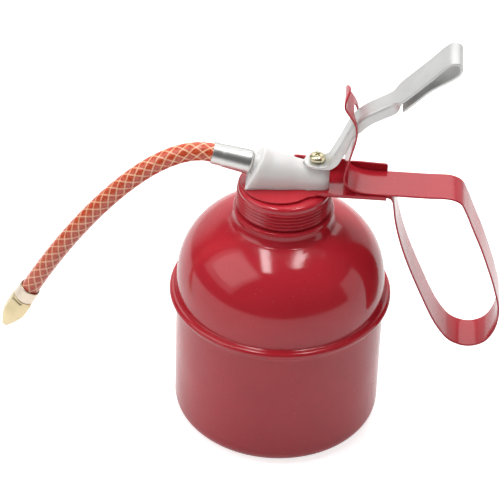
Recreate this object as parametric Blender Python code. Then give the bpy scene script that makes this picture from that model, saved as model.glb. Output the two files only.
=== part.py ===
# Thumb-lever oil can: a steel reservoir with a screw-on pump head, a flexible hose spout,
# a loop handle and a thumb lever that lifts the plunger.
# Frame: +Z up, origin at the centre of the flat base, spout towards -X, handle towards +X.
# All sizes are in millimetres; meshes are scaled to metres when they become objects.
import bpy
import bmesh
import math
from mathutils import Vector, Matrix

for old_object in list(bpy.data.objects):
    bpy.data.objects.remove(old_object, do_unlink=True)

MM = 0.001                      # metres in a millimetre
GAP = 0.3                       # clearance between pieces that touch
SHARP_ANGLE = math.radians(35)  # edges steeper than this are shaded sharp

# ---- reservoir ----
CAN_SEG = 32
CAN_R = 45.0                    # outside radius of the cup
CAN_T = 0.8                     # sheet thickness
BASE_ROUND = 6.5                # radius of the base edge
HEM_R = 46.5                    # outside radius of the cup's hem
SEAM_Z = 61.0                   # joint between cup and shoulder
SKIRT_R = CAN_R - CAN_T - GAP   # shoulder skirt inside the cup
SKIRT_BORE = 43.0
SKIRT_FOOT_Z = 56.0
BEAD_R = 1.6                    # section radius of the rolled bead
BEAD_OUT = 47.95                # outside radius of the bead
DOME_Z = 65.5                   # where the dome starts to close in
DOME_H = 37.3                   # height of the closing curve
DOME_POWER = 2.5                # superellipse power of the dome
DOME_ARC = (2.0, 66.0)          # part of the superellipse used, degrees
THROAT_R = 19.3                 # bore at the top of the shoulder
NECK_SEG = 28
NECK_BORE = 17.4
NECK_TUBE = 18.2
NECK_FOOT_Z = 100.6
NECK_TOP = 116.2
NECK_RING_R = 21.5              # seam ring at the root of the neck
NECK_RING_Z = (105.3, 106.9)
THREAD_Z = 108.2                # foot of the lowest thread ridge
THREAD_PITCH = 3.0
THREAD_COUNT = 2
THREAD_H = 0.35

# ---- cap and bracket ----
CAP_R = 20.15                   # crest radius of the ribbed skirt
CAP_ROOT = 19.55
CAP_BORE = 18.9
CAP_FOOT = 107.5
CAP_TOP = 118.6
CAP_UNDER = CAP_TOP - 1.0       # underside of the cap's roof
CAP_ROUND = 1.2                 # radius of the top edge
RIB_PITCH = 1.65
RIB_COUNT = 5
PLATE_BOTTOM = 118.9            # bracket sheet
PLATE_TOP = 119.7
PLATE_R = 16.3
PLATE_X = -2.3                  # centre of the sheet's round part
TONGUE_X = 42.8                 # +X end of the tongue
TONGUE_HALF = 9.75              # half width over the two lips
LIP_FOOT = PLATE_BOTTOM + 0.2   # lips start inside the sheet
LOW_LIP_Z = 121.0

# ---- handle strap ----
STRAP_W = 17.5
STRAP_T = 0.8
SLOT_W = 12.0
SLOT_Z = (147.0, 158.2)

# ---- pump ----
PUMP_X = 10.0                   # axis of the barrel
PIVOT_X, PIVOT_Z = 13.05, 130.65    # screw pivot of lever and plunger
PIVOT = (PIVOT_X, 0, PIVOT_Z)
FULCRUM = (28.6, 0, 148.0)      # where the lever rocks on the slot edge
BORE_R = 4.6
BORE_TOP = 123.5
SPIGOT_R = 5.8
SPIGOT_HOLE_R = SPIGOT_R + GAP
BARREL_Z = (52.0, 109.7)
PISTON_Z = 66.0
ROD_R = 1.5
ROD_HOLE_R = ROD_R + GAP        # bore of the parts carried on the rod
ROD_LEAN = math.atan2(PIVOT_X - PUMP_X, PIVOT_Z - PISTON_Z)
GUIDE_X = (9.07, PIVOT_X + 0.2)     # arc centres of the rod guide slot
SPRING_Z = (70.6, 92.0)
SEAT_TOP = 56.0                 # foot valve
SEAT_BORE = 1.4
STEM_R = 1.75
VALVE_BALL_R = 2.2
SUCTION_BEND = ((PUMP_X, 42.0), (PUMP_X, 30.0), (22.0, 22.0), (27.0, 8.5))  # Bezier (x, z)

# ---- spout ----
FACE = (-13.8, 127.8)           # centre of the pump body's outlet face (x, z)
SPOUT_UP = math.radians(12.5)   # the outlet points up by this angle
OUTLET_DIR = (-math.cos(SPOUT_UP), math.sin(SPOUT_UP))
OUTLET_BORE = 2.4
HOSE_R = 4.0
HOSE_BORE = 3.35
LINER_BORE = 2.7
HOSE_FIT_R = HOSE_R + GAP       # bore of the fittings round the hose
HOSE_END = (-109.2, 53.8)
TIP_DIR = (-0.488, -0.873)
FLANGE_R = 3.4                  # flange of the nipple


# ===== materials =============================================================
def material(name, color, roughness, metallic=0.0):
    result = bpy.data.materials.new(name)
    result.use_nodes = True
    shader = result.node_tree.nodes["Principled BSDF"]
    shader.inputs["Base Color"].default_value = (*color, 1.0)
    shader.inputs["Roughness"].default_value = roughness
    shader.inputs["Metallic"].default_value = metallic
    return result


RED = material("red_enamel", color=(0.42, 0.012, 0.022), roughness=0.22)
STEEL = material("zinc_steel", color=(0.66, 0.67, 0.66), roughness=0.35, metallic=1.0)
BRIGHT = material("bright_steel", color=(0.62, 0.62, 0.6), roughness=0.4, metallic=1.0)
BRASS = material("brass", color=(0.71, 0.66, 0.38), roughness=0.35, metallic=1.0)
NYLON = material("white_nylon", color=(0.86, 0.85, 0.83), roughness=0.4)
RUBBER = material("black_rubber", color=(0.03, 0.03, 0.03), roughness=0.7)
ORANGE = material("orange_hose", color=(0.78, 0.16, 0.05), roughness=0.35)


# ===== objects and booleans ==================================================
def face_outward(shape):
    bmesh.ops.recalc_face_normals(shape, faces=shape.faces[:])
    if shape.calc_volume(signed=True) < 0:
        bmesh.ops.reverse_faces(shape, faces=shape.faces[:])


def shade(mesh):
    mesh.shade_smooth()
    mesh.set_sharp_from_angle(angle=SHARP_ANGLE)


def link_object(name, shape, origin=(0, 0, 0)):
    """Turn a bmesh in millimetres into a linked object in metres."""
    face_outward(shape)
    offset = Vector(origin)
    for vert in shape.verts:
        vert.co = (vert.co - offset) * MM
    mesh = bpy.data.meshes.new(name)
    shape.to_mesh(mesh)
    shape.free()
    result = bpy.data.objects.new(name, mesh)
    bpy.context.scene.collection.objects.link(result)
    result.location = offset * MM
    return result


def emit(name, shape, finish, origin=(0, 0, 0)):
    """Make a finished piece from a bmesh in millimetres."""
    piece = link_object(name, shape, origin)
    shade(piece.data)
    piece.data.materials.append(finish)
    return piece


def boolean(piece, tool_shape, operation="DIFFERENCE"):
    """Cut or join a bmesh given in world millimetres."""
    tool = link_object("tool", tool_shape)
    modifier = piece.modifiers.new("cut", "BOOLEAN")
    modifier.operation = operation
    modifier.solver = "EXACT"
    modifier.object = tool
    bpy.context.view_layer.update()
    depsgraph = bpy.context.evaluated_depsgraph_get()
    result = bpy.data.meshes.new_from_object(piece.evaluated_get(depsgraph))
    piece.modifiers.remove(modifier)
    shape = bmesh.new()
    shape.from_mesh(result)
    bmesh.ops.remove_doubles(shape, verts=shape.verts[:], dist=2e-6)
    bmesh.ops.dissolve_degenerate(shape, edges=shape.edges[:], dist=1e-6)
    for face in shape.faces:
        face.material_index = 0
    shape.to_mesh(piece.data)
    shape.free()
    shade(piece.data)
    bpy.data.meshes.remove(result)
    bpy.data.objects.remove(tool)


# ===== curves: lists of (x, z) or (r, z) =====================================
def arc(x, z, radius, start, end, steps):
    """Arc about (x, z) between two angles in degrees."""
    angles = [math.radians(start + (end - start) * i / steps) for i in range(steps + 1)]
    return [(x + radius * math.cos(angle), z + radius * math.sin(angle)) for angle in angles]


def superdome(radius, height, start, end, steps):
    """Superellipse standing on DOME_Z between two parameter angles in degrees."""
    power = 2 / DOME_POWER
    angles = [math.radians(start + (end - start) * i / steps) for i in range(steps + 1)]
    return [(radius * math.cos(angle) ** power, DOME_Z + height * math.sin(angle) ** power)
            for angle in angles]


def ball_profile(z, radius, last_angle, steps):
    middle = arc(0, z, radius, -last_angle, last_angle, steps)
    return [(0, z - radius)] + middle + [(0, z + radius)]


def bezier(p0, p1, p2, p3, steps):
    points = []
    for i in range(steps + 1):
        t = i / steps
        points.append(tuple((1 - t) ** 3 * p0[c] + 3 * t * (1 - t) ** 2 * p1[c]
                            + 3 * t * t * (1 - t) * p2[c] + t ** 3 * p3[c] for c in (0, 1)))
    return points


def step_from(start, direction, distance):
    return (start[0] + direction[0] * distance, start[1] + direction[1] * distance)


def left_normal(line, i):
    """Unit normal (x, z) on the left of travel at point i of a line in the XZ plane."""
    before, after = line[max(i - 1, 0)], line[min(i + 1, len(line) - 1)]
    run_x, run_z = after[0] - before[0], after[1] - before[1]
    length = math.hypot(run_x, run_z)
    return -run_z / length, run_x / length


def circle(count):
    """Unit circle as (cos, sin) pairs."""
    angles = [2 * math.pi * k / count for k in range(count)]
    return [(math.cos(angle), math.sin(angle)) for angle in angles]


# ===== solids: bmeshes in millimetres ========================================
def revolved(profile, seg, axis_x=0.0):
    """Closed (r, z) outline turned about a vertical axis at (axis_x, 0)."""
    shape = bmesh.new()
    rings = []
    for r, z in profile:
        if r < 1e-6:
            rings.append([shape.verts.new((axis_x, 0, z))])
        else:
            rings.append([shape.verts.new((axis_x + r * c, r * s, z)) for c, s in circle(seg)])
    for i, ring in enumerate(rings):
        following = rings[(i + 1) % len(rings)]
        if len(ring) == 1 and len(following) == 1:
            continue
        for k in range(seg):
            k2 = (k + 1) % seg
            if len(ring) == 1:
                shape.faces.new((ring[0], following[k], following[k2]))
            elif len(following) == 1:
                shape.faces.new((ring[k], following[0], ring[k2]))
            else:
                shape.faces.new((ring[k], following[k], following[k2], ring[k2]))
    return shape


def loft(rings, loop=False):
    """Skin over equal rings, capped at both ends or joined last to first."""
    shape = bmesh.new()
    vert_rings = [[shape.verts.new(point) for point in ring] for ring in rings]
    count = len(vert_rings[0])
    for i in range(len(rings) if loop else len(rings) - 1):
        ring, following = vert_rings[i], vert_rings[(i + 1) % len(rings)]
        for k in range(count):
            k2 = (k + 1) % count
            shape.faces.new((ring[k], ring[k2], following[k2], following[k]))
    if not loop:
        shape.faces.new(vert_rings[0])
        shape.faces.new(list(reversed(vert_rings[-1])))
    return shape


def extrude_z(outline, z0, z1):
    return loft([[(x, y, z) for x, y in outline] for z in (z0, z1)])


def extrude_y(outline, y0, y1):
    return loft([[(x, y, z) for x, z in outline] for y in (y0, y1)])


def tube(path, outer_r, inner_r, seg):
    """Tube along a path of (x, z) points."""
    outer, inner = [], []
    for i, (x, z) in enumerate(path):
        nx, nz = left_normal(path, i)
        for radius, rings in ((outer_r, outer), (inner_r, inner)):
            rings.append([(x + nx * radius * c, radius * s, z + nz * radius * c)
                          for c, s in circle(seg)])
    return loft(outer + inner[::-1], loop=True)


def box(x0, x1, y0, y1, z0, z1):
    shape = bmesh.new()
    bmesh.ops.create_cube(shape, size=1.0)
    for vert in shape.verts:
        x, y, z = vert.co
        vert.co = ((x0 + x1) / 2 + x * (x1 - x0), (y0 + y1) / 2 + y * (y1 - y0),
                   (z0 + z1) / 2 + z * (z1 - z0))
    return shape


def cylinder(x, radius, z0, z1, seg=24):
    return revolved([(0, z0), (radius, z0), (radius, z1), (0, z1)], seg, x)


def stadium(x0, x1, radius, z0, z1):
    """Upright slot with rounded ends; x0 and x1 are the arc centres."""
    outline = arc(x1, 0, radius, -90, 90, 10) + arc(x0, 0, radius, 90, 270, 10)
    return extrude_z(outline, z0, z1)


def coil(x, z0, z1, radius, wire, turns, sides, closed):
    """Round-wire spring; wire is a radius, closed the number of flat turns at each end."""
    steps = turns * 8
    rings = []
    for i in range(steps + 1):
        done = turns * i / steps
        angle = 2 * math.pi * done
        lift = min(max((done - closed) / (turns - 2 * closed), 0), 1)
        z = z0 + wire + (z1 - z0 - 2 * wire) * lift
        rings.append([(x + (radius + wire * c) * math.cos(angle),
                       (radius + wire * c) * math.sin(angle), z + wire * s)
                      for c, s in circle(sides)])
    return loft(rings)


def placed(shape, matrix):
    bmesh.ops.transform(shape, matrix=matrix, verts=shape.verts[:])
    return shape


def aim(start, direction):
    """Matrix that carries local +Z onto a direction (x, z) from a start point (x, z)."""
    facing = Vector((direction[0], 0, direction[1])).normalized()
    turn = facing.to_track_quat("Z", "Y").to_matrix().to_4x4()
    return Matrix.Translation((start[0], 0, start[1])) @ turn


def revolve(name, profile, seg, finish, axis_x=0.0, origin=(0, 0, 0)):
    return emit(name, revolved(profile, seg, axis_x), finish, origin)


# ===== reservoir =============================================================
def can_cup():
    """Drawn cup: flat base, rounded base edge, straight wall and a small outward hem."""
    round_r = CAN_R - BASE_ROUND
    wall_in = CAN_R - CAN_T
    profile = [(0, 0)] + arc(round_r, BASE_ROUND, BASE_ROUND, -90, 0, 4)
    profile += [(CAN_R, 58.8), (46.3, 59.7), (HEM_R, 60.2),
                (HEM_R, SEAM_Z - GAP), (wall_in, SEAM_Z - GAP)]
    profile += arc(round_r, BASE_ROUND, BASE_ROUND - CAN_T, 0, -90, 3) + [(0, CAN_T)]
    revolve("can_cup", profile, CAN_SEG, RED)


def can_shoulder():
    """Skirt in the cup, rolled bead over its hem, bulging dome, concave run to the neck."""
    start, end = DOME_ARC
    profile = [(SKIRT_BORE, SKIRT_FOOT_Z), (SKIRT_R, SKIRT_FOOT_Z), (SKIRT_R, SEAM_Z),
               (46.35, SEAM_Z)]
    profile += arc(BEAD_OUT - BEAD_R, SEAM_Z + BEAD_R, BEAD_R, -60, 90, 4)
    profile += [(45.1, 64.7)] + superdome(CAN_R, DOME_H, start, end, 8)
    profile += [(20.9, 101.6), (20.5, 103.0), (20.4, 105.0), (THROAT_R, 105.0),
                (THROAT_R, 101.6)]
    profile += superdome(CAN_R - CAN_T, DOME_H - CAN_T, end, start, 5)
    profile += [(SKIRT_BORE, 64.0)]
    revolve("can_shoulder", profile, CAN_SEG, RED)


def neck_collar():
    """Threaded collar in the shoulder's throat."""
    foot_r = THROAT_R - GAP
    ring_z0, ring_z1 = NECK_RING_Z
    profile = [(NECK_BORE, NECK_FOOT_Z), (foot_r, NECK_FOOT_Z), (foot_r, ring_z0),
               (NECK_RING_R - 0.4, ring_z0), (NECK_RING_R, 106.0),
               (NECK_RING_R - 0.5, ring_z1), (NECK_TUBE, ring_z1)]
    for ridge in range(THREAD_COUNT):
        z = THREAD_Z + THREAD_PITCH * ridge
        profile += [(NECK_TUBE, z), (NECK_TUBE + THREAD_H, z + 0.5), (NECK_TUBE, z + 1.0)]
    profile += [(NECK_TUBE, NECK_TOP), (NECK_BORE, NECK_TOP)]
    revolve("neck_collar", profile, NECK_SEG, RED)


can_cup()
can_shoulder()
neck_collar()


# ===== cap, gasket, bracket ==================================================
def cap_gasket():
    inner_r, outer_r = 17.45, 18.6
    z0, z1 = NECK_TOP + GAP, 117.25
    revolve("cap_gasket", [(inner_r, z0), (outer_r, z0), (outer_r, z1), (inner_r, z1)],
            NECK_SEG, RUBBER)


def screw_cap():
    """Cap with horizontal ribs round its skirt and a hole for the pump spigot."""
    profile = [(CAP_BORE, CAP_FOOT), (CAP_ROOT + 0.1, CAP_FOOT)]
    for rib in range(RIB_COUNT):
        z = CAP_FOOT + 0.35 + RIB_PITCH * rib
        profile += [(CAP_R, z + 0.65), (CAP_ROOT, z + RIB_PITCH - 0.1)]
    profile += arc(CAP_ROOT - CAP_ROUND, CAP_TOP - CAP_ROUND, CAP_ROUND, 10, 90, 3)
    profile += [(0, CAP_TOP), (0, CAP_UNDER), (CAP_BORE, CAP_UNDER)]
    cap = revolve("screw_cap", profile, NECK_SEG, RED)
    boolean(cap, cylinder(PUMP_X, SPIGOT_HOLE_R, 115, 121))


# Outlines (x, z) of the folded lips along the tongue's two edges.
TALL_LIP = [(1.9, 121.5), (3.2, 126.6), (12.5, 126.1), (24.2, 126.0), (26.2, 124.6),
            (27.4, 125.5), (TONGUE_X, 124.9), (TONGUE_X, LIP_FOOT), (1.9, LIP_FOOT)]
LOW_LIP = [(14.0, LIP_FOOT), (TONGUE_X, LIP_FOOT), (TONGUE_X, LOW_LIP_Z),
           (15.6, LOW_LIP_Z), (14.0, PLATE_TOP + 0.3)]


def bracket_plate():
    """Round sheet on the cap with a tongue under the handle; tall lip at +Y, low at -Y."""
    start = math.degrees(math.asin(TONGUE_HALF / PLATE_R))
    outline = arc(PLATE_X, 0, PLATE_R, start, 360 - start, 26)
    outline += [(TONGUE_X, -TONGUE_HALF), (TONGUE_X, TONGUE_HALF)]
    plate = emit("bracket_plate", extrude_z(outline, PLATE_BOTTOM, PLATE_TOP), RED)
    # The lips stop 0.02 short of the sheet's edges so that no faces coincide.
    boolean(plate, extrude_y(TALL_LIP, TONGUE_HALF - 0.75, TONGUE_HALF - 0.02), "UNION")
    boolean(plate, extrude_y(LOW_LIP, -TONGUE_HALF + 0.02, -TONGUE_HALF + 0.7), "UNION")
    boolean(plate, cylinder(PUMP_X, SPIGOT_HOLE_R, 117, 121))


cap_gasket()
screw_cap()
bracket_plate()

# ===== handle strap ==========================================================
# Centre line (x, z) of one strip: the lower layer on the bracket, down and round the grip,
# back over the bracket as the upper layer, then up into the slotted fulcrum tab.
LOWER_Z = PLATE_TOP + GAP + STRAP_T / 2
UPPER_Z = LOWER_Z + STRAP_T + GAP
STRAP_LINE = [
    (29.5, LOWER_Z), (36.0, LOWER_Z), (43.2, LOWER_Z), (44.9, LOWER_Z - 0.7),
    (45.8, 118.2), (46.3, 115.4), (47.5, 107.9), (51.4, 93.6), (59.7, 72.7), (68.9, 53.7),
    (75.2, 46.4), (82.7, 44.3), (89.2, 46.9), (93.1, 53.5), (94.4, 64.0), (91.8, 75.5),
    (88.6, 85.2), (84.5, 96.3), (80.2, 106.4), (76.4, 115.4), (74.0, 119.6),
    (69.8, UPPER_Z), (60.0, UPPER_Z), (48.0, UPPER_Z), (36.0, UPPER_Z),
    (31.5, 122.1), (27.6, 123.7), (25.2, 126.2), (24.8, 129.2), (26.0, 135.2),
    (27.3, 141.4), (28.5, 146.8), (28.9, 151.2), (28.2, 155.1), (26.7, 158.2),
    (24.9, 160.8), (23.6, 162.8), (23.6, 164.8), (25.0, 167.3)]


def strap_width(to_end):
    """Width at a distance from the tab's end, which is rounded."""
    radius = STRAP_W / 2
    if to_end < radius:
        return 2 * math.sqrt(radius ** 2 - (radius - to_end) ** 2) * 0.98 + 0.35
    return STRAP_W


def handle_strap():
    count = len(STRAP_LINE)
    to_end = [0.0] * count
    for i in range(count - 2, -1, -1):
        to_end[i] = to_end[i + 1] + math.dist(STRAP_LINE[i], STRAP_LINE[i + 1])
    rings = []
    for i, (x, z) in enumerate(STRAP_LINE):
        nx, nz = left_normal(STRAP_LINE, i)
        dx, dz = nx * STRAP_T / 2, nz * STRAP_T / 2
        half = strap_width(to_end[i]) / 2
        rings.append([(x + dx, -half, z + dz), (x + dx, half, z + dz),
                      (x - dx, half, z - dz), (x - dx, -half, z - dz)])
    strap = emit("handle_strap", loft(rings), RED)
    boolean(strap, box(18, 34, -SLOT_W / 2, SLOT_W / 2, *SLOT_Z))


handle_strap()

# ===== pump body =============================================================
OUTLET_FRAME = aim(FACE, OUTLET_DIR)    # local +Z runs out of the outlet face

# Stations along X: x, centre height, radius, lean as a multiple of the outlet's tilt.
BODY_STATIONS = [
    (-13.35, 125.8, 8.5, 2.27), (-13.1, 125.8, 9.05, 2.27), (-7.0, 125.1, 8.05, 1.2),
    (0.0, 124.5, 7.4, 0.45), (4.0, 123.8, 6.7, 0.2), (10.0, 123.2, 6.25, 0),
    (15.0, 123.0, 6.0, 0), (17.4, 122.9, 5.3, 0), (18.6, 122.8, 3.9, 0)]
BODY_FOOT = 118.5


def body_ring(x, centre_z, radius, lean, seg=24):
    """Section of the body: round on top, upright sides below the centre."""
    ring = []
    for k in range(seg):
        angle = 2 * math.pi * (k + 0.5) / seg
        c, s = math.cos(angle), math.sin(angle)
        if s < 0:
            larger = max(abs(c), abs(s))
            y, z = radius * c / larger, centre_z + (centre_z - BODY_FOOT) * s / larger
        else:
            y, z = radius * c, centre_z + radius * s
        ring.append((x + (z - centre_z) * math.tan(SPOUT_UP) * lean, y, z))
    return ring


def pump_body():
    def outlet_cylinder(radius, z0, z1, seg):
        return placed(cylinder(0, radius, z0, z1, seg), OUTLET_FRAME)

    body = emit("pump_body", loft([body_ring(*row) for row in BODY_STATIONS]), NYLON)
    # Flat foot just above the bracket, then the spigot, its bore and the rod guide.
    boolean(body, box(-30, 30, -20, 20, 105, PLATE_TOP + GAP))
    boolean(body, cylinder(PUMP_X, SPIGOT_R, 110, 120.3), "UNION")
    boolean(body, cylinder(PUMP_X, BORE_R, 105, BORE_TOP))
    boolean(body, stadium(*GUIDE_X, ROD_R + 0.35, 121, 134))
    # Outlet boss, narrow passage and valve chamber.
    boolean(body, outlet_cylinder(4.2, -7.0, 0.0, 24), "UNION")
    boolean(body, outlet_cylinder(1.3, -22.5, -8.0, 16))
    boolean(body, outlet_cylinder(OUTLET_BORE, -9.0, 3.0, 20))


pump_body()


# ===== barrel and foot valve =================================================
def union_nut():
    outer_r, foot, top = 7.0, 103.4, CAP_UNDER - GAP
    revolve("union_nut", [(SPIGOT_HOLE_R, foot), (outer_r, foot), (outer_r, top),
                          (SPIGOT_HOLE_R, top)], 24, STEEL, PUMP_X)


def pump_barrel():
    foot, top = BARREL_Z
    tube_r = SPIGOT_R - 0.4
    revolve("pump_barrel", [(BORE_R, foot), (tube_r, foot), (tube_r, 104.0),
                            (SPIGOT_R, 104.6), (SPIGOT_R, top), (BORE_R, top)],
            24, STEEL, PUMP_X)


def spring_stop():
    inner_r, outer_r = 3.45, BORE_R - GAP
    foot, top = SPRING_Z[1] + GAP, 94.0
    revolve("spring_stop", [(inner_r, foot), (outer_r, foot), (outer_r, top),
                            (inner_r, top)], 24, STEEL, PUMP_X)


def return_spring():
    spring = coil(PUMP_X, *SPRING_Z, radius=3.75, wire=0.32, turns=7, sides=5, closed=0.8)
    emit("return_spring", spring, STEEL)


def foot_valve():
    """Plug in the barrel's lower end with a free ball above its seat."""
    plug_r, shelf = BORE_R - GAP, BARREL_Z[0] - GAP
    seat = [(1.0, 43.0), (STEM_R, 43.0), (STEM_R, 49.6), (5.4, 49.6), (5.4, shelf),
            (plug_r, shelf), (plug_r, SEAT_TOP), (SEAT_BORE, SEAT_TOP), (1.0, 55.2)]
    revolve("foot_valve_seat", seat, 24, BRASS, PUMP_X)
    # The ball floats one clearance off the rim of the seat.
    ball_z = SEAT_TOP + math.sqrt((VALVE_BALL_R + GAP) ** 2 - SEAT_BORE ** 2)
    revolve("foot_valve_ball", ball_profile(ball_z, VALVE_BALL_R, 67.5, 6), 16, STEEL,
            PUMP_X, origin=(PUMP_X, 0, ball_z))


def suction_line():
    """Bent tube down to a strainer near the base, on the +X side."""
    path = [(PUMP_X, 49.2), (PUMP_X, 45.5)] + bezier(*SUCTION_BEND, 8)
    emit("suction_tube", tube(path, 2.9, STEM_R + GAP, 10), NYLON)
    bend, end = SUCTION_BEND[2:]
    frame = aim(end, (end[0] - bend[0], end[1] - bend[1]))
    strainer = [(3.45, -3.6), (4.1, -3.6), (4.1, 3.2), (0.9, 3.2), (0.9, 2.5), (3.45, 2.5)]
    emit("suction_strainer", placed(revolved(strainer, 16), frame), BRASS)


union_nut()
pump_barrel()
spring_stop()
return_spring()
foot_valve()
suction_line()

# ===== plunger: swings a few degrees on the lever's screw ====================
ROD_FRAME = Matrix.Translation(PIVOT) @ Matrix.Rotation(ROD_LEAN, 4, "Y")
SCREW_SHANK_R = 0.8
SCREW_HEAD_Z = 1.5              # underside of the head above the pivot

# name, (r, z) outline with z along the rod from the pivot, segments, material
PLUNGER_PARTS = [
    ("plunger_rod", [(0, -69.2), (ROD_R, -69.2), (ROD_R, -1.5), (1.1, -1.5), (1.1, -7.5),
                     (0, -7.5)], 20, STEEL),
    ("piston", [(ROD_HOLE_R, -64.8), (3.9, -64.8), (4.0, -64.4), (4.0, -61.0),
                (3.7, -60.6), (ROD_HOLE_R, -60.6)], 24, NYLON),
    ("piston_cup", [(ROD_HOLE_R, -66.9), (3.3, -66.9), (4.1, -65.6), (4.1, -65.1),
                    (ROD_HOLE_R, -65.1)], 24, RUBBER),
    ("piston_nut", [(ROD_HOLE_R, -68.8), (3.0, -68.8), (3.0, -67.2),
                    (ROD_HOLE_R, -67.2)], 6, STEEL),
    # Pan-head screw that holds the lever's end plate to the rod, loose enough to rock.
    ("lever_screw", [(0, -7.0), (SCREW_SHANK_R, -7.0), (SCREW_SHANK_R, SCREW_HEAD_Z),
                     (3.4, SCREW_HEAD_Z), (3.45, SCREW_HEAD_Z + 0.5),
                     (3.1, SCREW_HEAD_Z + 1.3), (2.2, SCREW_HEAD_Z + 1.9),
                     (1.1, SCREW_HEAD_Z + 2.15), (0, SCREW_HEAD_Z + 2.2)], 24, BRASS)]

for part_name, outline, segments, finish in PLUNGER_PARTS:
    emit(part_name, placed(revolved(outline, segments), ROD_FRAME), finish, PIVOT)

# ===== thumb lever ===========================================================
# One stamping: flat end plate, channel arm open below, wide thumb pad folded back under
# itself. Columns: x and z of the outer face, width, flange depth.
LEVER_ROWS = [
    (7.75, 131.1, 6.0, 0.95), (8.2, 131.1, 8.0, 0.95), (9.2, 131.1, 9.7, 0.95),
    (11.0, 131.1, 10.5, 0.95), (14.5, 131.1, 10.5, 0.95), (16.2, 131.25, 10.5, 1.3),
    (17.2, 132.0, 10.5, 2.6), (18.5, 134.3, 10.5, 3.6), (19.9, 137.4, 10.5, 3.7),
    (22.3, 142.7, 10.5, 3.8), (24.6, 148.2, 10.5, 3.3), (26.3, 152.0, 10.5, 4.6),
    (28.7, 155.5, 10.5, 4.9), (32.6, 158.7, 10.5, 4.9), (36.8, 161.2, 10.5, 5.0),
    (41.9, 164.5, 11.0, 4.8), (43.8, 166.0, 13.4, 2.9), (45.7, 167.7, 15.7, 1.2),
    (48.0, 170.1, 16.2, 1.0), (51.3, 173.6, 16.2, 1.0), (57.4, 180.2, 16.2, 1.0),
    (62.3, 185.9, 16.2, 1.0), (65.2, 187.9, 16.2, 1.0), (68.4, 187.5, 16.2, 1.0),
    (69.6, 185.3, 16.2, 1.0), (68.9, 182.3, 16.2, 1.0), (66.6, 180.0, 16.2, 1.0),
    (57.8, 173.6, 16.0, 1.0), (51.5, 166.8, 15.6, 1.0), (47.4, 162.4, 15.2, 1.0)]
LEVER_T = 0.9
LEVER_HOLE_R = 1.75


def lever():
    rings = []
    for i, (x, z, width, depth) in enumerate(LEVER_ROWS):
        nx, nz = left_normal(LEVER_ROWS, i)
        outer, inner = width / 2, width / 2 - LEVER_T
        # (y, distance below the outer face) round the channel section
        section = [(-outer, 0), (outer, 0), (outer, depth), (inner, depth),
                   (inner, LEVER_T), (-inner, LEVER_T), (-inner, depth), (-outer, depth)]
        rings.append([(x - nx * below, y, z - nz * below) for y, below in section])
    piece = emit("lever", loft(rings), BRIGHT, FULCRUM)
    boolean(piece, cylinder(PIVOT_X, LEVER_HOLE_R, 128, 133.5, 20))


lever()


# ===== outlet valve and spout ================================================
def on_outlet(name, shape, finish):
    emit(name, placed(shape, OUTLET_FRAME), finish)


def outlet_valve():
    on_outlet("outlet_ball", revolved(ball_profile(-6.75, 1.75, 60, 5), 16), STEEL)
    spring = coil(0, -4.7, -1.6, radius=1.75, wire=0.2, turns=3, sides=4, closed=0.7)
    on_outlet("outlet_spring", spring, STEEL)


def spout_nipple():
    """Hollow nipple from the valve chamber into the hose, with a flange at the face."""
    bore, plug_r, barb_r = 1.1, OUTLET_BORE - GAP, LINER_BORE - GAP
    profile = [(bore, -1.2), (plug_r, -1.2), (plug_r, GAP), (FLANGE_R, GAP),
               (FLANGE_R, 2.4), (barb_r, 2.4), (barb_r, 15.0), (2.1, 16.0), (bore, 16.0)]
    on_outlet("spout_nipple", revolved(profile, 14), BRASS)


def hose_ferrule():
    flange_fit = FLANGE_R + GAP
    profile = [(flange_fit, GAP), (4.75, GAP), (5.2, 0.8), (5.2, 2.6), (4.95, 9.0),
               (4.65, 17.4), (HOSE_FIT_R, 17.4), (HOSE_FIT_R, 2.7), (flange_fit, 2.7)]
    on_outlet("hose_ferrule", revolved(profile, 20), STEEL)


def hose():
    """Cover and liner on one path: straight in the ferrule, a long bend, straight at the tip."""
    bend_start, bend_end = 17.0, -6.0       # distances from the outlet face and hose end
    start_pull, end_pull = 25.5, 33.7       # Bezier handle lengths
    path = [step_from(FACE, OUTLET_DIR, 3.0), step_from(FACE, OUTLET_DIR, 8.0)]
    path += bezier(step_from(FACE, OUTLET_DIR, bend_start),
                   step_from(FACE, OUTLET_DIR, bend_start + start_pull),
                   step_from(HOSE_END, TIP_DIR, bend_end - end_pull),
                   step_from(HOSE_END, TIP_DIR, bend_end), 15)
    path += [HOSE_END, step_from(HOSE_END, TIP_DIR, 5.5)]
    emit("hose_cover", tube(path, HOSE_R, HOSE_BORE, 14), ORANGE)
    emit("hose_liner", tube(path, HOSE_BORE - GAP, LINER_BORE, 10), NYLON)


TIP_FRAME = aim(HOSE_END, TIP_DIR)

# Round the tip's section, outside then bore: z from the hose end, radius, hexagonal or not.
TIP_STATIONS = [
    (6.5, 4.75, False), (7.3, 5.3, True), (15.2, 5.3, True), (20.6, 3.3, False),
    (23.6, 1.9, False), (24.4, 1.6, False),
    (24.4, 0.6, False), (9.5, 0.6, False), (8.0, 1.6, False), (6.5, 1.6, False)]


def tip_collar():
    profile = [(HOSE_FIT_R, 0.0), (4.6, 0.0), (4.75, 0.4), (4.75, 6.2), (HOSE_FIT_R, 6.2)]
    emit("tip_collar", placed(revolved(profile, 20), TIP_FRAME), BRASS)


def spout_tip():
    """Hexagonal brass body drawn down to a round nose, with an orifice through it."""
    side = math.radians(60)
    seg = 12
    rings = []
    for z, corner_r, hexagonal in TIP_STATIONS:
        ring = []
        for k in range(seg):
            angle = 2 * math.pi * k / seg
            r = corner_r
            if hexagonal:
                r *= math.cos(side / 2) / math.cos(angle % side - side / 2)
            ring.append((r * math.cos(angle), r * math.sin(angle), z))
        rings.append(ring)
    emit("spout_tip", placed(loft(rings, loop=True), TIP_FRAME), BRASS)


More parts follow.
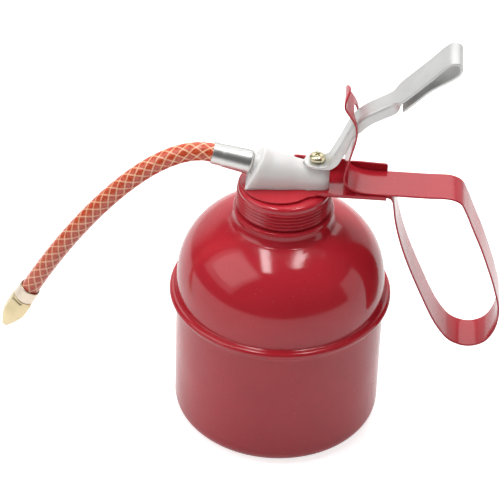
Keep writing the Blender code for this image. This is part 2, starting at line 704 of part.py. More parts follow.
outlet_valve()
spout_nipple()
hose_ferrule()
hose()
tip_collar()
spout_tip()
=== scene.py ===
"""Thumb-lever oil can: a round red can with a screw cap, a nylon pump head and a strap handle.

The can stands on z = 0 with its axis on Z. The handle and the lever reach towards +X, the
braided hose and its tip towards -X. "Near" is -Y, where the camera stands, and "far" is +Y.
Pieces are drawn in millimetres and scaled to metres as their meshes are made.
"""
import math

import bmesh
import bpy
import numpy as np
from mathutils import Matrix, Vector


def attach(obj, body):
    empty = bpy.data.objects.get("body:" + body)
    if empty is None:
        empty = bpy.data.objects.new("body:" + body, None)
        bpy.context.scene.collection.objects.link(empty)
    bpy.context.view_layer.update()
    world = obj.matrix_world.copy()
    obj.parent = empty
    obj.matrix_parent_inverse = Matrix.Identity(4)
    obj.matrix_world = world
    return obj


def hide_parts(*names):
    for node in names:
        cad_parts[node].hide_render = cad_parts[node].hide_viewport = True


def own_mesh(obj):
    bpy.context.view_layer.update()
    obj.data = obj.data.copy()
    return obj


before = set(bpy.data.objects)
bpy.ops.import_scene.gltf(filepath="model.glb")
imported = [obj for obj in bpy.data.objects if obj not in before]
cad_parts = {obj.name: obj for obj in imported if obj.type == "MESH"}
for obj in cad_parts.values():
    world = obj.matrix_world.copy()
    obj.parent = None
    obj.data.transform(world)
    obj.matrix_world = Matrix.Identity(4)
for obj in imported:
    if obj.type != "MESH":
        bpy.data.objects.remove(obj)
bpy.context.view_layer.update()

MM = 0.001
TAU = 2 * math.pi
SHARP = 38.0                    # degrees between faces beyond which an edge stays sharp

# Dimensions shared by several pieces, in millimetres
SHEET = 0.8                     # red steel sheet
PUMP_X = 10.0                   # upright axis of the pump
PUMP_HOLE_R = 6.1               # hole for the pump in the cap and the bracket
BORE_R = 4.6                    # bore of the pump barrel
PIVOT = (13.05, 130.65)         # X, Z of the screw that joins lever and plunger
FACE = (-13.8, 127.8)           # X, Z of the centre of the outlet face
SPOUT_UP = math.radians(12.5)   # rise of the outlet above -X
OUT_DIR = (-math.cos(SPOUT_UP), math.sin(SPOUT_UP))
HOSE_R = 4.0
STRANDS = 6                     # strands wound each way round the hose
LEAD = 31.0                     # length in which one strand goes once round
HOSE_END = (-109.2, 53.8)       # X, Z where the tip collar begins
TIP_DIR = (-0.488, -0.873)      # X, Z direction of the tip

# ---------------------------------------------------------------- points and paths


def polar(radius, angle):
    return radius * math.cos(angle), radius * math.sin(angle)


def arc(x, z, radius, start, end, steps):
    """Points on a circle, with angles in degrees."""
    out = []
    for i in range(steps + 1):
        across, up = polar(radius, math.radians(start + (end - start) * i / steps))
        out.append((x + across, z + up))
    return out


def rounded(points, radius, steps=4, closed=True):
    """Polygon with rounded corners: one radius, or one per point (0 keeps the corner)."""
    out = []
    count = len(points)
    radii = radius if isinstance(radius, list) else [radius] * count
    for i, point in enumerate(points):
        if (not closed and i in (0, count - 1)) or radii[i] <= 0:
            out.append(point)
            continue
        corner = Vector(point)
        back = Vector(points[i - 1]) - corner
        ahead = Vector(points[(i + 1) % count]) - corner
        room = 0.48 * min(back.length, ahead.length)
        back.normalize()
        ahead.normalize()
        angle = back.angle(ahead)
        if angle > math.radians(176):
            out.append(point)
            continue
        reach = min(radii[i] / math.tan(angle / 2), room)
        start, end = corner + back * reach, corner + ahead * reach
        for k in range(steps + 1):
            u = k / steps
            spot = start * (1 - u) ** 2 + corner * (2 * u * (1 - u)) + end * u * u
            out.append((spot.x, spot.y))
    return out


def between(first, second, start, end, at):
    return (end - at) / (end - start) * first + (at - start) / (end - start) * second


def spline(rows, step):
    """Centripetal Catmull-Rom through rows; distances use the first two columns."""
    rows = [np.array(row, float) for row in rows]
    rows = [2 * rows[0] - rows[1]] + rows + [2 * rows[-1] - rows[-2]]
    out = []
    for i in range(1, len(rows) - 2):
        four = rows[i - 1:i + 3]
        gaps = [np.linalg.norm((four[k + 1] - four[k])[:2]) for k in range(3)]
        knots = [0.0]
        for gap in gaps:
            knots.append(knots[-1] + max(gap, 1e-6) ** 0.5)
        count = max(2, int(math.ceil(gaps[1] / step)))
        for k in range(count):
            at = knots[1] + (knots[2] - knots[1]) * k / count
            line = [between(four[j], four[j + 1], knots[j], knots[j + 1], at) for j in range(3)]
            curve = [between(line[j], line[j + 1], knots[j], knots[j + 2], at) for j in range(2)]
            out.append(between(curve[0], curve[1], knots[1], knots[2], at))
    out.append(rows[-2])
    return out


def bezier(start, pull_start, pull_end, end, steps):
    out = []
    for i in range(steps + 1):
        t = i / steps
        out.append(tuple((1 - t) ** 3 * start[c] + 3 * t * (1 - t) ** 2 * pull_start[c]
                         + 3 * t * t * (1 - t) * pull_end[c] + t ** 3 * end[c] for c in (0, 1)))
    return out


def smoothstep(x):
    x = min(max(x, 0.0), 1.0)
    return x * x * (3 - 2 * x)


def distances(points):
    """Running length at each point of a path."""
    run = [0.0]
    for start, end in zip(points, points[1:]):
        run.append(run[-1] + math.dist(start, end))
    return run


def tangents(path):
    """Unit X, Z direction of a path at each of its points."""
    out = []
    last = len(path) - 1
    for i in range(last + 1):
        start, end = path[max(i - 1, 0)], path[min(i + 1, last)]
        x, z = end[0] - start[0], end[1] - start[1]
        length = math.hypot(x, z)
        out.append((x / length, z / length))
    return out


def resample(path, places):
    """Points of a path at the given running lengths."""
    run = distances(path)
    columns = [np.interp(places, run, [point[c] for point in path]) for c in (0, 1)]
    return list(zip(columns[0].tolist(), columns[1].tolist()))


def spaced(start, step, count):
    return [start + step * i for i in range(count)]


def on_line(start, direction, distance):
    return (start[0] + direction[0] * distance, start[1] + direction[1] * distance)


def facing(start, direction):
    """Placement whose local Z runs along an X, Z direction from an X, Z point."""
    turn = Vector((direction[0], 0, direction[1])).to_track_quat("Z", "Y")
    return Matrix.Translation((start[0], 0, start[1])) @ turn.to_matrix().to_4x4()


ON_PUMP = Matrix.Translation((PUMP_X, 0, 0))
ON_OUTLET = facing(FACE, OUT_DIR)
ON_TIP = facing(HOSE_END, TIP_DIR)

# ---------------------------------------------------------------- meshes


def add_object(name, mesh):
    ob = bpy.data.objects.new(name, mesh)
    bpy.context.scene.collection.objects.link(ob)
    return ob


def shade(mesh, sharp):
    mesh.shade_smooth()
    mesh.set_sharp_from_angle(angle=math.radians(sharp))


def closed_mesh(name, points, faces, uvs=None):
    """Mesh with outward normals; uvs holds one pair per face corner, in millimetres."""
    mesh = bpy.data.meshes.new(name)
    mesh.from_pydata([(x * MM, y * MM, z * MM) for x, y, z in points], [], faces)
    if uvs is not None:
        layer = mesh.uv_layers.new(name="along")
        flat = np.array([c for face in uvs for pair in face for c in pair], np.float32)
        layer.data.foreach_set("uv", flat)
    bm = bmesh.new()
    bm.from_mesh(mesh)
    bmesh.ops.recalc_face_normals(bm, faces=bm.faces[:])
    if bm.calc_volume(signed=True) < 0:
        bmesh.ops.reverse_faces(bm, faces=bm.faces[:])
    bm.to_mesh(mesh)
    bm.free()
    return mesh


def make(name, points, faces, uvs, material, sharp):
    mesh = closed_mesh(name, points, faces, uvs)
    shade(mesh, sharp)
    mesh.materials.append(material)
    return add_object(name, mesh)


def lathe_data(outline, segments, place=None, relief=None):
    """Closed (radius, z) outline turned about local Z; relief(angle, radius, z) adds radius."""
    points, faces, uvs, starts = [], [], [], []
    run = distances(outline + outline[:1])
    around = TAU * max(radius for radius, z in outline)
    on_axis = [radius < 1e-6 for radius, z in outline]
    for (radius, z), single in zip(outline, on_axis):
        starts.append(len(points))
        if single:
            points.append(Vector((0, 0, z)))
            continue
        for k in range(segments):
            angle = TAU * k / segments
            extra = relief(angle, radius, z) if relief else 0.0
            points.append(Vector((*polar(radius + extra, angle), z)))
    count = len(outline)
    for i in range(count):
        j = (i + 1) % count
        if on_axis[i] and on_axis[j]:
            continue
        for k in range(segments):
            # each corner is (0 or 1 for this or the next outline point, segment)
            corners = [(0, k), (1, k), (1, k + 1), (0, k + 1)]
            if on_axis[i]:
                corners.pop()
            elif on_axis[j]:
                corners.pop(2)
            face = []
            for step, column in corners:
                row = (i + step) % count
                face.append(starts[row] + (0 if on_axis[row] else column % segments))
            faces.append(tuple(face))
            uvs.append([(around * column / segments, run[i + step]) for step, column in corners])
    if place is not None:
        points = [place @ point for point in points]
    return [tuple(point) for point in points], faces, uvs


def lathe(name, outline, segments, material, place=None, relief=None, sharp=SHARP):
    return make(name, *lathe_data(outline, segments, place, relief), material, sharp)


def skin(rings, around, along, loop):
    """Points, faces and uvs over equal rings; around and along give the uv lengths."""
    count, sides = len(rings), len(rings[0])
    faces, uvs = [], []
    for i in range(count if loop else count - 1):
        j = (i + 1) % count
        for k in range(sides):
            k2 = (k + 1) % sides
            faces.append((i * sides + k, i * sides + k2, j * sides + k2, j * sides + k))
            uvs.append([(around[k], along[i]), (around[k + 1], along[i]),
                        (around[k + 1], along[i + 1]), (around[k], along[i + 1])])
    return [tuple(point) for ring in rings for point in ring], faces, uvs


def loft(name, rings, material, loop=False, sharp=SHARP):
    """Skin over equal rings, with flat end faces unless the rings themselves loop."""
    def edge_lengths(ring):
        return distances([Vector(point) for point in ring + ring[:1]])

    centres = [Vector(np.mean(np.array([tuple(p) for p in ring]), axis=0)) for ring in rings]
    along = distances(centres + centres[:1])
    around = edge_lengths(max(rings, key=lambda ring: edge_lengths(ring)[-1]))
    points, faces, uvs = skin(rings, around, along, loop)
    if not loop:
        sides, last = len(rings[0]), len(rings) - 1
        faces.append(tuple(range(sides)))
        uvs.append([(around[k], along[0]) for k in range(sides)])
        faces.append(tuple(last * sides + k for k in reversed(range(sides))))
        uvs.append([(around[k], along[last]) for k in reversed(range(sides))])
    return make(name, points, faces, uvs, material, sharp)


def tube(name, path, outer, inner, sides, material, relief=None):
    """Hollow tube along an X, Z path; relief(turns, run) adds to the outer radius."""
    lip, inner_step = 0.15, 4   # chamfer at both ends; path points per ring of the bore
    last = len(path) - 1
    run = distances(path)
    headings = tangents(path)

    def ring(i, radius, shift=0.0, shaped=False):
        x, z = headings[i]
        centre = Vector((path[i][0], 0, path[i][1])) + Vector((x, 0, z)) * shift
        out = []
        for k in range(sides):
            extra = relief(k / sides, run[i]) if shaped and relief else 0.0
            side, far = polar(radius + extra, TAU * k / sides)
            out.append(tuple(centre + Vector((-z, 0, x)) * side + Vector((0, 1, 0)) * far))
        return out

    rings = [ring(0, outer - lip)]
    for i in range(last + 1):
        rings.append(ring(i, outer, {0: lip, last: -lip}.get(i, 0.0), shaped=True))
    rings.append(ring(last, outer - lip))
    bore = list(range(last, -1, -inner_step))
    if bore[-1] != 0:
        bore.append(0)
    rings += [ring(i, inner) for i in bore]
    along = [-lip] + run + [run[-1] + lip] + [run[i] for i in bore] + [-lip]
    around = [TAU * outer * k / sides for k in range(sides + 1)]
    return make(name, *skin(rings, around, along, loop=True), material, sharp=50)


def coil(name, bottom, top, radius, wire, turns, per_turn, sides, closed, place):
    """Compression spring of round wire; the first and last `closed` turns lie flat."""
    rings = []
    steps = int(turns * per_turn)
    for i in range(steps + 1):
        angle = TAU * turns * i / steps
        lift = min(max((i / steps * turns - closed) / (turns - 2 * closed), 0), 1)
        outward = Vector((*polar(1.0, angle), 0))
        centre = outward * radius
        centre.z = bottom + wire + (top - bottom - 2 * wire) * lift
        thick = wire * min(1.0, 0.35 + min(i, steps - i) * 0.16)
        ring = []
        for k in range(sides):
            side, up = polar(thick, TAU * k / sides)
            ring.append(tuple(place @ (centre + outward * side + Vector((0, 0, up)))))
        rings.append(ring)
    return loft(name, rings, WIRE, sharp=60)


def cylinder(x, radius, bottom, top, segments=64, place=None):
    outline = [(0, bottom), (radius, bottom), (radius, top), (0, top)]
    points, faces, _ = lathe_data(outline, segments)
    points = [(px + x, py, pz) for px, py, pz in points]
    return moved(points, place), faces


def prism(polygon, bottom, top, place=None):
    """Polygon in the local XY plane, extruded along local Z."""
    count = len(polygon)
    points = [(x, y, bottom) for x, y in polygon] + [(x, y, top) for x, y in polygon]
    faces = [tuple(range(count)), tuple(range(2 * count - 1, count - 1, -1))]
    for k in range(count):
        k2 = (k + 1) % count
        faces.append((k, k2, count + k2, count + k))
    return moved(points, place), faces


def moved(points, place):
    return points if place is None else [tuple(place @ Vector(point)) for point in points]


def bake(ob, sharp=SHARP):
    """Replace the mesh by its modified result, with slivers removed."""
    bpy.context.view_layer.update()
    depsgraph = bpy.context.evaluated_depsgraph_get()
    mesh = bpy.data.meshes.new_from_object(ob.evaluated_get(depsgraph))
    ob.modifiers.clear()
    bm = bmesh.new()
    bm.from_mesh(mesh)
    bmesh.ops.remove_doubles(bm, verts=bm.verts[:], dist=1.5e-6)
    bmesh.ops.dissolve_degenerate(bm, edges=bm.edges[:], dist=1e-6)
    bm.to_mesh(mesh)
    bm.free()
    old = ob.data
    mesh.materials.clear()
    for material in old.materials:
        mesh.materials.append(material)
    for polygon in mesh.polygons:
        polygon.material_index = 0
    shade(mesh, sharp)
    ob.data = mesh
    bpy.data.meshes.remove(old)
    mesh.name = ob.name


def cut(ob, solid, operation="DIFFERENCE", sharp=SHARP):
    """Boolean with a closed solid given as (points, faces)."""
    tool = add_object("tool", closed_mesh("tool", *solid))
    modifier = ob.modifiers.new("cut", "BOOLEAN")
    modifier.operation = operation
    modifier.solver = "EXACT"
    modifier.object = tool
    bake(ob, sharp)
    bpy.data.objects.remove(tool)


def round_edges(ob, width, limit, sharp):
    modifier = ob.modifiers.new("edge", "BEVEL")
    modifier.width = width * MM
    modifier.segments = 2
    modifier.limit_method = "ANGLE"
    modifier.angle_limit = math.radians(limit)
    bake(ob, sharp)


def put(ob, body, node):
    """The piece rides on its body and stands for its CAD node."""
    modifier = ob.modifiers.new("normals", "WEIGHTED_NORMAL")
    modifier.keep_sharp = True
    modifier.weight = 60
    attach(ob, body)
    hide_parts(node)


# ---------------------------------------------------------------- materials
MIDDLE = (0.3, 0.7)             # span that holds most values of a noise texture
UNIT = (0.0, 1.0)


class Nodes:
    """Adds and links the nodes of one shader tree."""

    def __init__(self, tree):
        self.tree = tree

    def fill(self, node, values):
        for key, value in values.items():
            socket = node.inputs[key]
            if isinstance(value, bpy.types.NodeSocket):
                self.tree.links.new(value, socket)
            elif socket.type == "RGBA":
                socket.default_value = (*value, 1.0)
            else:
                socket.default_value = value

    def add(self, kind, values=None, **settings):
        node = self.tree.nodes.new(kind)
        for key, value in settings.items():
            setattr(node, key, value)
        self.fill(node, values or {})
        return node

    def surface(self, values):
        self.fill(self.tree.nodes["Principled BSDF"], values)

    def coordinates(self, kind):
        return self.add("ShaderNodeTexCoord").outputs[kind]

    def math(self, operation, *values):
        return self.add("ShaderNodeMath", dict(enumerate(values)), operation=operation).outputs[0]

    def plus(self, base, extra, share):
        """base + extra * share"""
        return self.math("ADD", base, self.math("MULTIPLY", extra, share))

    def mix(self, factor, start, end, share=None):
        """Colour from start to end; share scales the factor."""
        if share is not None:
            factor = self.math("MULTIPLY", factor, share)
        return self.add("ShaderNodeMix", {0: factor, 6: start, 7: end}, data_type="RGBA").outputs[2]

    def remap(self, value, source=MIDDLE, target=UNIT, smooth=False):
        kind = "SMOOTHSTEP" if smooth else "LINEAR"
        values = dict(enumerate((value, *source, *target)))
        return self.add("ShaderNodeMapRange", values, interpolation_type=kind).outputs[0]

    def noise(self, vector, scale=1.0, detail=2.0, roughness=0.5, distortion=0.0):
        values = {"Vector": vector, "Scale": scale, "Detail": detail,
                  "Roughness": roughness, "Distortion": distortion}
        return self.add("ShaderNodeTexNoise", values).outputs[0]

    def bump(self, height, strength, distance, normal=None):
        values = {"Height": height, "Strength": strength, "Distance": distance}
        if normal is not None:
            values["Normal"] = normal
        return self.add("ShaderNodeBump", values).outputs[0]

    def scaled(self, vector, scale):
        return self.add("ShaderNodeMapping", {"Vector": vector, "Scale": scale}).outputs[0]

    def split(self, vector):
        return self.add("ShaderNodeSeparateXYZ", {"Vector": vector}).outputs

    def edges(self, radius):
        """0 on open faces, rising to 1 on outer edges and inner corners."""
        bevel = self.add("ShaderNodeBevel", {"Radius": radius}, samples=4)
        geometry = self.add("ShaderNodeNewGeometry")
        normals = {0: bevel.outputs[0], 1: geometry.outputs["Normal"]}
        facing_same = self.add("ShaderNodeVectorMath", normals, operation="DOT_PRODUCT")
        return self.remap(facing_same.outputs["Value"], source=(0.995, 0.86))


def new_material(name):
    material = bpy.data.materials.new(name)
    material.use_nodes = True
    return material, Nodes(material.node_tree)


def enamel():
    """Glossy sprayed red: faint orange peel, darker along edges and in inner corners, some dust."""
    material, nodes = new_material("red_enamel_paint")
    place = nodes.coordinates("Object")
    cloud = nodes.noise(place, scale=28.0)
    mottle = nodes.noise(place, scale=260.0, detail=3.0, roughness=0.55)
    colour = nodes.mix(nodes.remap(cloud), start=(0.46, 0.017, 0.030), end=(0.52, 0.022, 0.035))
    mottle = nodes.remap(mottle, source=(0.45, 0.75), target=(0.0, 0.22))
    colour = nodes.mix(mottle, start=colour, end=(0.41, 0.014, 0.025))
    # darker, rougher band along outer edges and in inner corners, broken up by noise
    edge_breakup = nodes.noise(place, scale=900.0, roughness=0.6)
    edge_breakup = nodes.remap(edge_breakup, source=(0.35, 0.65), target=(0.35, 1.0))
    edge_and_corner_mask = nodes.math("MULTIPLY", nodes.edges(radius=0.00045), edge_breakup)
    colour = nodes.mix(edge_and_corner_mask, start=colour, end=(0.17, 0.006, 0.012), share=0.45)
    # fine dust specks lying on the paint
    specks = nodes.remap(nodes.noise(place, scale=1500.0, detail=1.0), source=(0.70, 0.76))
    colour = nodes.mix(specks, start=colour, end=(0.75, 0.55, 0.55), share=0.05)
    rough = nodes.noise(place, scale=70.0, detail=3.0, roughness=0.6)
    rough = nodes.remap(rough, target=(0.10, 0.16))
    rough = nodes.plus(rough, edge_and_corner_mask, share=0.10)
    rough = nodes.plus(rough, specks, share=0.15)
    peel = nodes.noise(place, scale=620.0)
    wave = nodes.noise(place, scale=60.0, detail=1.0, roughness=0.4)
    normal = nodes.bump(wave, strength=0.10, distance=0.0012)
    normal = nodes.bump(peel, strength=0.10, distance=0.00012, normal=normal)
    nodes.surface({"Base Color": colour, "Roughness": rough, "IOR": 1.52, "Normal": normal})
    return material


def nylon():
    """White moulded nylon: satin, slightly translucent, with flow marks, a painted highlight along
    the edges and a faint painted glow.
    """
    material, nodes = new_material("white_nylon_moulded")
    place = nodes.coordinates("Object")
    flow = nodes.noise(nodes.scaled(place, scale=(1.0, 2.4, 2.4)), scale=90.0, detail=3.0,
                       distortion=0.6)
    colour = nodes.mix(nodes.remap(flow), start=(0.64, 0.63, 0.62), end=(0.685, 0.675, 0.665))
    # painted highlight: edges and inner corners lightened towards near-white
    colour = nodes.mix(nodes.edges(radius=0.0006), start=colour, end=(0.92, 0.90, 0.86),
                       share=0.25)
    rough = nodes.noise(place, scale=240.0, detail=3.0, roughness=0.6)
    grain = nodes.noise(place, scale=1400.0, detail=3.0, roughness=0.6)
    nodes.surface({
        "Base Color": colour,
        "Roughness": nodes.remap(rough, target=(0.36, 0.5)),
        "Subsurface Weight": 0.7,
        "Subsurface Radius": (1.0, 0.9, 0.85),
        "Subsurface Scale": 0.005,
        # painted glow: a faint white emission lightens the whole body evenly, though the nylon is
        # no lamp
        "Emission Color": (1.0, 0.97, 0.94),
        "Emission Strength": 0.07,
        "Normal": nodes.bump(grain, strength=0.12, distance=0.00008),
    })
    return material


# Fine marks of metal: stretch of the surface coordinates, roughness swing, bump strength, depth
TURNED = {"stretch": (0.02, 3.2, 1.0), "swing": (-0.04, 0.06), "bump": 0.18, "depth": 0.00006}
ROLLED = {"stretch": (1.3, 0.05, 1.0), "swing": (-0.05, 0.08), "bump": 0.06, "depth": 0.00005}


def metal(name, base, dark, rough, marks, amount, patch=40.0, cloud=0.35, metallic=1.0):
    """Plated metal: cloudy plating, dark spots, turned or rolled marks, and a painted highlight
    that lightens the edges.
    """
    material, nodes = new_material(name)
    place = nodes.coordinates("Object")
    clouds = nodes.noise(place, scale=patch, detail=4.0, roughness=0.6)
    shade_of = nodes.remap(clouds, source=(0.35, 0.7), target=(0.0, cloud))
    colour = nodes.mix(shade_of, start=base, end=dark)
    spots = nodes.noise(place, scale=700.0, roughness=0.7)
    spots = nodes.remap(spots, source=(0.62, 0.8), target=(0.0, 0.35))
    colour = nodes.mix(spots, start=colour, end=[c * 0.72 for c in dark])
    # painted highlight: edges and inner corners lightened to 1.12 times the base colour
    bright = [min(1.0, c * 1.12) for c in base]
    colour = nodes.mix(nodes.edges(radius=0.0004), start=colour, end=bright, share=0.5)
    stretched = nodes.scaled(nodes.coordinates("UV"), scale=marks["stretch"])
    lines = nodes.noise(stretched, detail=3.0, roughness=0.6)
    swing = [limit * amount for limit in marks["swing"]]
    roughness = nodes.math("ADD", nodes.remap(clouds, target=(rough * 0.85, rough * 1.25)),
                           nodes.remap(lines, target=swing))
    normal = nodes.bump(lines, strength=marks["bump"] * amount, distance=marks["depth"])
    pits = nodes.noise(place, scale=420.0)
    normal = nodes.bump(pits, strength=0.05, distance=0.00008, normal=normal)
    nodes.surface({"Base Color": colour, "Metallic": metallic, "Roughness": roughness,
                   "Normal": normal})
    return material


def rubber():
    material, nodes = new_material("black_rubber_moulded")
    place = nodes.coordinates("Object")
    cloud = nodes.noise(place, scale=300.0, detail=3.0, roughness=0.6)
    grain = nodes.noise(place, scale=2200.0, roughness=0.6)
    nodes.surface({
        "Base Color": nodes.mix(nodes.remap(cloud, source=(0.35, 0.7)),
                                start=(0.018, 0.018, 0.018), end=(0.045, 0.043, 0.042)),
        "Roughness": nodes.remap(cloud, target=(0.55, 0.8)),
        "Normal": nodes.bump(grain, strength=0.3, distance=0.00008),
    })
    return material


def braided_hose():
    """Clear plastic over a red-orange tube with two crossed sets of pale strands."""
    material, nodes = new_material("orange_braided_hose")
    surface = nodes.coordinates("UV")
    across, along, _ = nodes.split(surface)
    turn = nodes.math("DIVIDE", across, TAU * HOSE_R)
    run = nodes.math("DIVIDE", along, LEAD)
    wobble = nodes.remap(nodes.noise(nodes.scaled(surface, scale=(0.25, 0.12, 1.0))),
                         target=(-0.035, 0.035))
    positive = 100.0            # keeps the strand count above zero before its fraction is taken

    def strand(hand):
        count = nodes.math("ADD", nodes.math("MULTIPLY", turn, hand), run)
        count = nodes.math("ADD", nodes.math("MULTIPLY", count, STRANDS), wobble)
        part = nodes.math("FRACT", nodes.math("ADD", count, positive))
        from_middle = nodes.math("ABSOLUTE", nodes.math("SUBTRACT", part, 0.5))
        return nodes.remap(from_middle, source=(0.060, 0.125), target=(1.0, 0.0), smooth=True)

    right, left = strand(1), strand(-1)
    either = nodes.math("MAXIMUM", right, left)
    crossing = nodes.math("MULTIPLY", right, left)
    mottle = nodes.noise(nodes.scaled(surface, scale=(0.8, 0.8, 1.0)), detail=3.0, roughness=0.6)
    ground = nodes.mix(nodes.remap(mottle), start=(0.56, 0.055, 0.020), end=(0.72, 0.105, 0.035))
    thread = nodes.mix(nodes.remap(mottle, source=(0.35, 0.65)),
                       start=(0.93, 0.42, 0.24), end=(0.98, 0.56, 0.36))
    thread = nodes.mix(crossing, start=thread, end=(1.0, 0.74, 0.52), share=0.6)
    colour = nodes.mix(either, start=ground, end=thread)
    # painted reflection: the base colour turns pale where the jacket is seen edge-on, standing in
    # for the sheen of the clear plastic
    painted_sheen = nodes.add("ShaderNodeLayerWeight", {"Blend": 0.30}).outputs["Facing"]
    painted_sheen = nodes.remap(painted_sheen, source=(0.55, 1.0), target=(0.0, 0.55))
    grain = nodes.noise(nodes.scaled(surface, scale=(2.0, 2.0, 1.0)), detail=3.0, roughness=0.6)
    nodes.surface({
        "Base Color": nodes.mix(painted_sheen, start=colour, end=(0.86, 0.62, 0.42)),
        "Roughness": nodes.remap(mottle, target=(0.22, 0.34)),
        "IOR": 1.5,
        "Coat Weight": 0.5,
        "Coat Roughness": 0.12,
        "Subsurface Weight": 0.15,
        "Subsurface Radius": (1.0, 0.4, 0.2),
        "Subsurface Scale": 0.001,
        "Normal": nodes.bump(grain, strength=0.10, distance=0.0001),
    })
    return material


RED = enamel()
NYLON = nylon()
RUBBER = rubber()
HOSE = braided_hose()
FERRULE = metal("zinc_steel_ferrule", base=(0.76, 0.76, 0.74), dark=(0.62, 0.63, 0.62),
                rough=0.36, marks=TURNED, amount=0.6, cloud=0.3)
STEEL = metal("zinc_steel_turned", base=(0.74, 0.74, 0.73), dark=(0.55, 0.56, 0.56),
              rough=0.28, marks=TURNED, amount=1.0)
WIRE = metal("spring_wire", base=(0.60, 0.60, 0.60), dark=(0.42, 0.42, 0.43),
             rough=0.30, marks=ROLLED, amount=0.6)
LEVER = metal("bright_zinc_sheet", base=(0.74, 0.74, 0.725), dark=(0.62, 0.63, 0.62),
              rough=0.45, marks=ROLLED, amount=0.8, patch=55.0, cloud=0.5, metallic=0.72)
SCREW = metal("yellow_zinc_screw", base=(0.74, 0.68, 0.46), dark=(0.56, 0.50, 0.30),
              rough=0.27, marks=TURNED, amount=0.7)
BRASS = metal("yellow_brass", base=(0.74, 0.62, 0.38), dark=(0.56, 0.45, 0.26),
              rough=0.30, marks=TURNED, amount=0.9)
COLLAR = metal("warm_zinc_collar", base=(0.78, 0.68, 0.55), dark=(0.60, 0.50, 0.38),
               rough=0.28, marks=TURNED, amount=0.8)
INNER = metal("inner_brass", base=(0.72, 0.60, 0.34), dark=(0.52, 0.42, 0.22),
              rough=0.33, marks=TURNED, amount=1.0)

# ---------------------------------------------------------------- reservoir
# Lathe outlines hold (radius, z).
CAN_R = 45.0
CAN_SEGMENTS = 256
BASE_ROUND = 6.5
BASE_RISE = 0.5                 # the middle of the base stands clear of the floor
FOOT_R = 30.8
SEAM_Z, BEAD_R, BEAD_AT = 61.0, 1.6, 46.35
DOME_Z, DOME_H, DOME_POWER = 65.5, 37.3, 2.5


def dome(inset, start, end, steps):
    """Superellipse outline, angles in degrees."""
    out = []
    for i in range(steps + 1):
        angle = math.radians(start + (end - start) * i / steps)
        out.append(((CAN_R - inset) * math.cos(angle) ** (2 / DOME_POWER),
                    DOME_Z + (DOME_H - inset) * math.sin(angle) ** (2 / DOME_POWER)))
    return out


def pressed(amount):
    """Slow unevenness of drawn sheet, so that reflections waver a little."""
    def relief(angle, radius, z):
        if radius < 30:
            return 0.0
        return amount * (0.55 * math.sin(3 * angle + 0.9 + z * 0.05)
                         + 0.35 * math.sin(7 * angle - z * 0.11 + 2.1)
                         + 0.25 * math.sin(12 * angle + z * 0.19))
    return relief


def can_cup():
    corner = CAN_R - BASE_ROUND
    flat_r = 29.5
    outline = [(0, BASE_RISE), (flat_r, BASE_RISE), (FOOT_R, 0.0)]
    outline += arc(corner, BASE_ROUND, BASE_ROUND, -90, 0, 14)
    outline += [(CAN_R, z) for z in spaced(8, 3.2, 16)]
    outline += rounded([(CAN_R, 57.2), (CAN_R, 58.8), (46.3, 59.7), (46.5, 60.2), (46.5, 60.7),
                        (44.2, 60.7), (44.2, 58)], [0, 0.9, 0.5, 0.2, 0.2, 0.15, 0], closed=False)
    outline += arc(corner, BASE_ROUND, BASE_ROUND - SHEET, 0, -90, 10)
    outline += [(FOOT_R, SHEET), (flat_r, BASE_RISE + SHEET), (0, BASE_RISE + SHEET)]
    return lathe("can_cup_skin", outline, CAN_SEGMENTS, RED, relief=pressed(0.035))


def can_shoulder():
    """Tucked rim, round bead, domed top and short neck, with the sheet's inner face."""
    outline = [(43.0, 56.0), (43.9, 56.0)]
    outline += rounded([(43.9, 59.0), (43.9, SEAM_Z), (BEAD_AT, SEAM_Z)], [0, 0.4, 0], 3,
                       closed=False)
    outline += arc(BEAD_AT, SEAM_Z + BEAD_R, BEAD_R, -70, 78, 18)
    outline += rounded([(46.2, 64.2), (45.15, 64.6), (44.99, 66.2)], [0, 0.55, 0], closed=False)
    outline += dome(0, 2.0, 66.0, 70)
    outline += rounded([(20.95, 101.6), (20.45, 103.0), (20.4, 105.0), (19.3, 105.0),
                        (19.3, 101.6)], [0.8, 0.8, 0.12, 0.12, 0.3], 3, closed=False)
    outline += dome(SHEET, 66.0, 2.0, 26) + [(43.0, 64.0)]
    return lathe("can_shoulder_skin", outline, CAN_SEGMENTS, RED, relief=pressed(0.045))


NECK_R, NECK_BORE = 18.2, 17.4
THREAD_PITCH, THREAD_H = 3.0, 0.36


def neck_thread(angle, radius, z):
    if abs(radius - NECK_R) > 1e-3 or z < 107.2 or z > 115.9:
        return 0.0
    phase = (z / THREAD_PITCH - angle / TAU) % 1.0
    wave = 0.5 + 0.5 * math.cos(TAU * (phase - 0.5))
    fade = smoothstep((z - 107.4) / 1.2) * smoothstep((115.6 - z) / 1.2)
    return THREAD_H * smoothstep((wave - 0.15) / 0.7) * fade


def neck_collar():
    outline = [(NECK_BORE, 100.6), (19.0, 100.6)]
    outline += rounded([(19.0, 105.3), (21.1, 105.3), (21.5, 106.0), (21.0, 106.9),
                        (NECK_R, 106.9)], [0, 0.15, 0.3, 0.3, 0.1], closed=False)
    outline += [(NECK_R, 107.1 + 0.18 * i) for i in range(1, 50)]
    outline += rounded([(NECK_R, 115.95), (NECK_R, 116.2), (NECK_BORE, 116.2),
                        (NECK_BORE, 115.6)], [0, 0.18, 0.15, 0], 3, closed=False)[1:]
    return lathe("neck_collar_skin", outline, 192, RED, relief=neck_thread)


def cap_gasket():
    outline = rounded([(17.45, 116.5), (18.6, 116.5), (18.6, 117.25), (17.45, 117.25)], 0.2)
    return lathe("cap_gasket_ring", outline, 128, RUBBER)


CAP_R, CAP_ROOT, CAP_BORE = 20.15, 19.55, 18.9     # over the ribs, between them, inside
CAP_TOP, CAP_CEILING = 118.6, 117.6
RIB_PITCH, RIB_STEPS, RIB_POINTS = 1.65, 12, 60


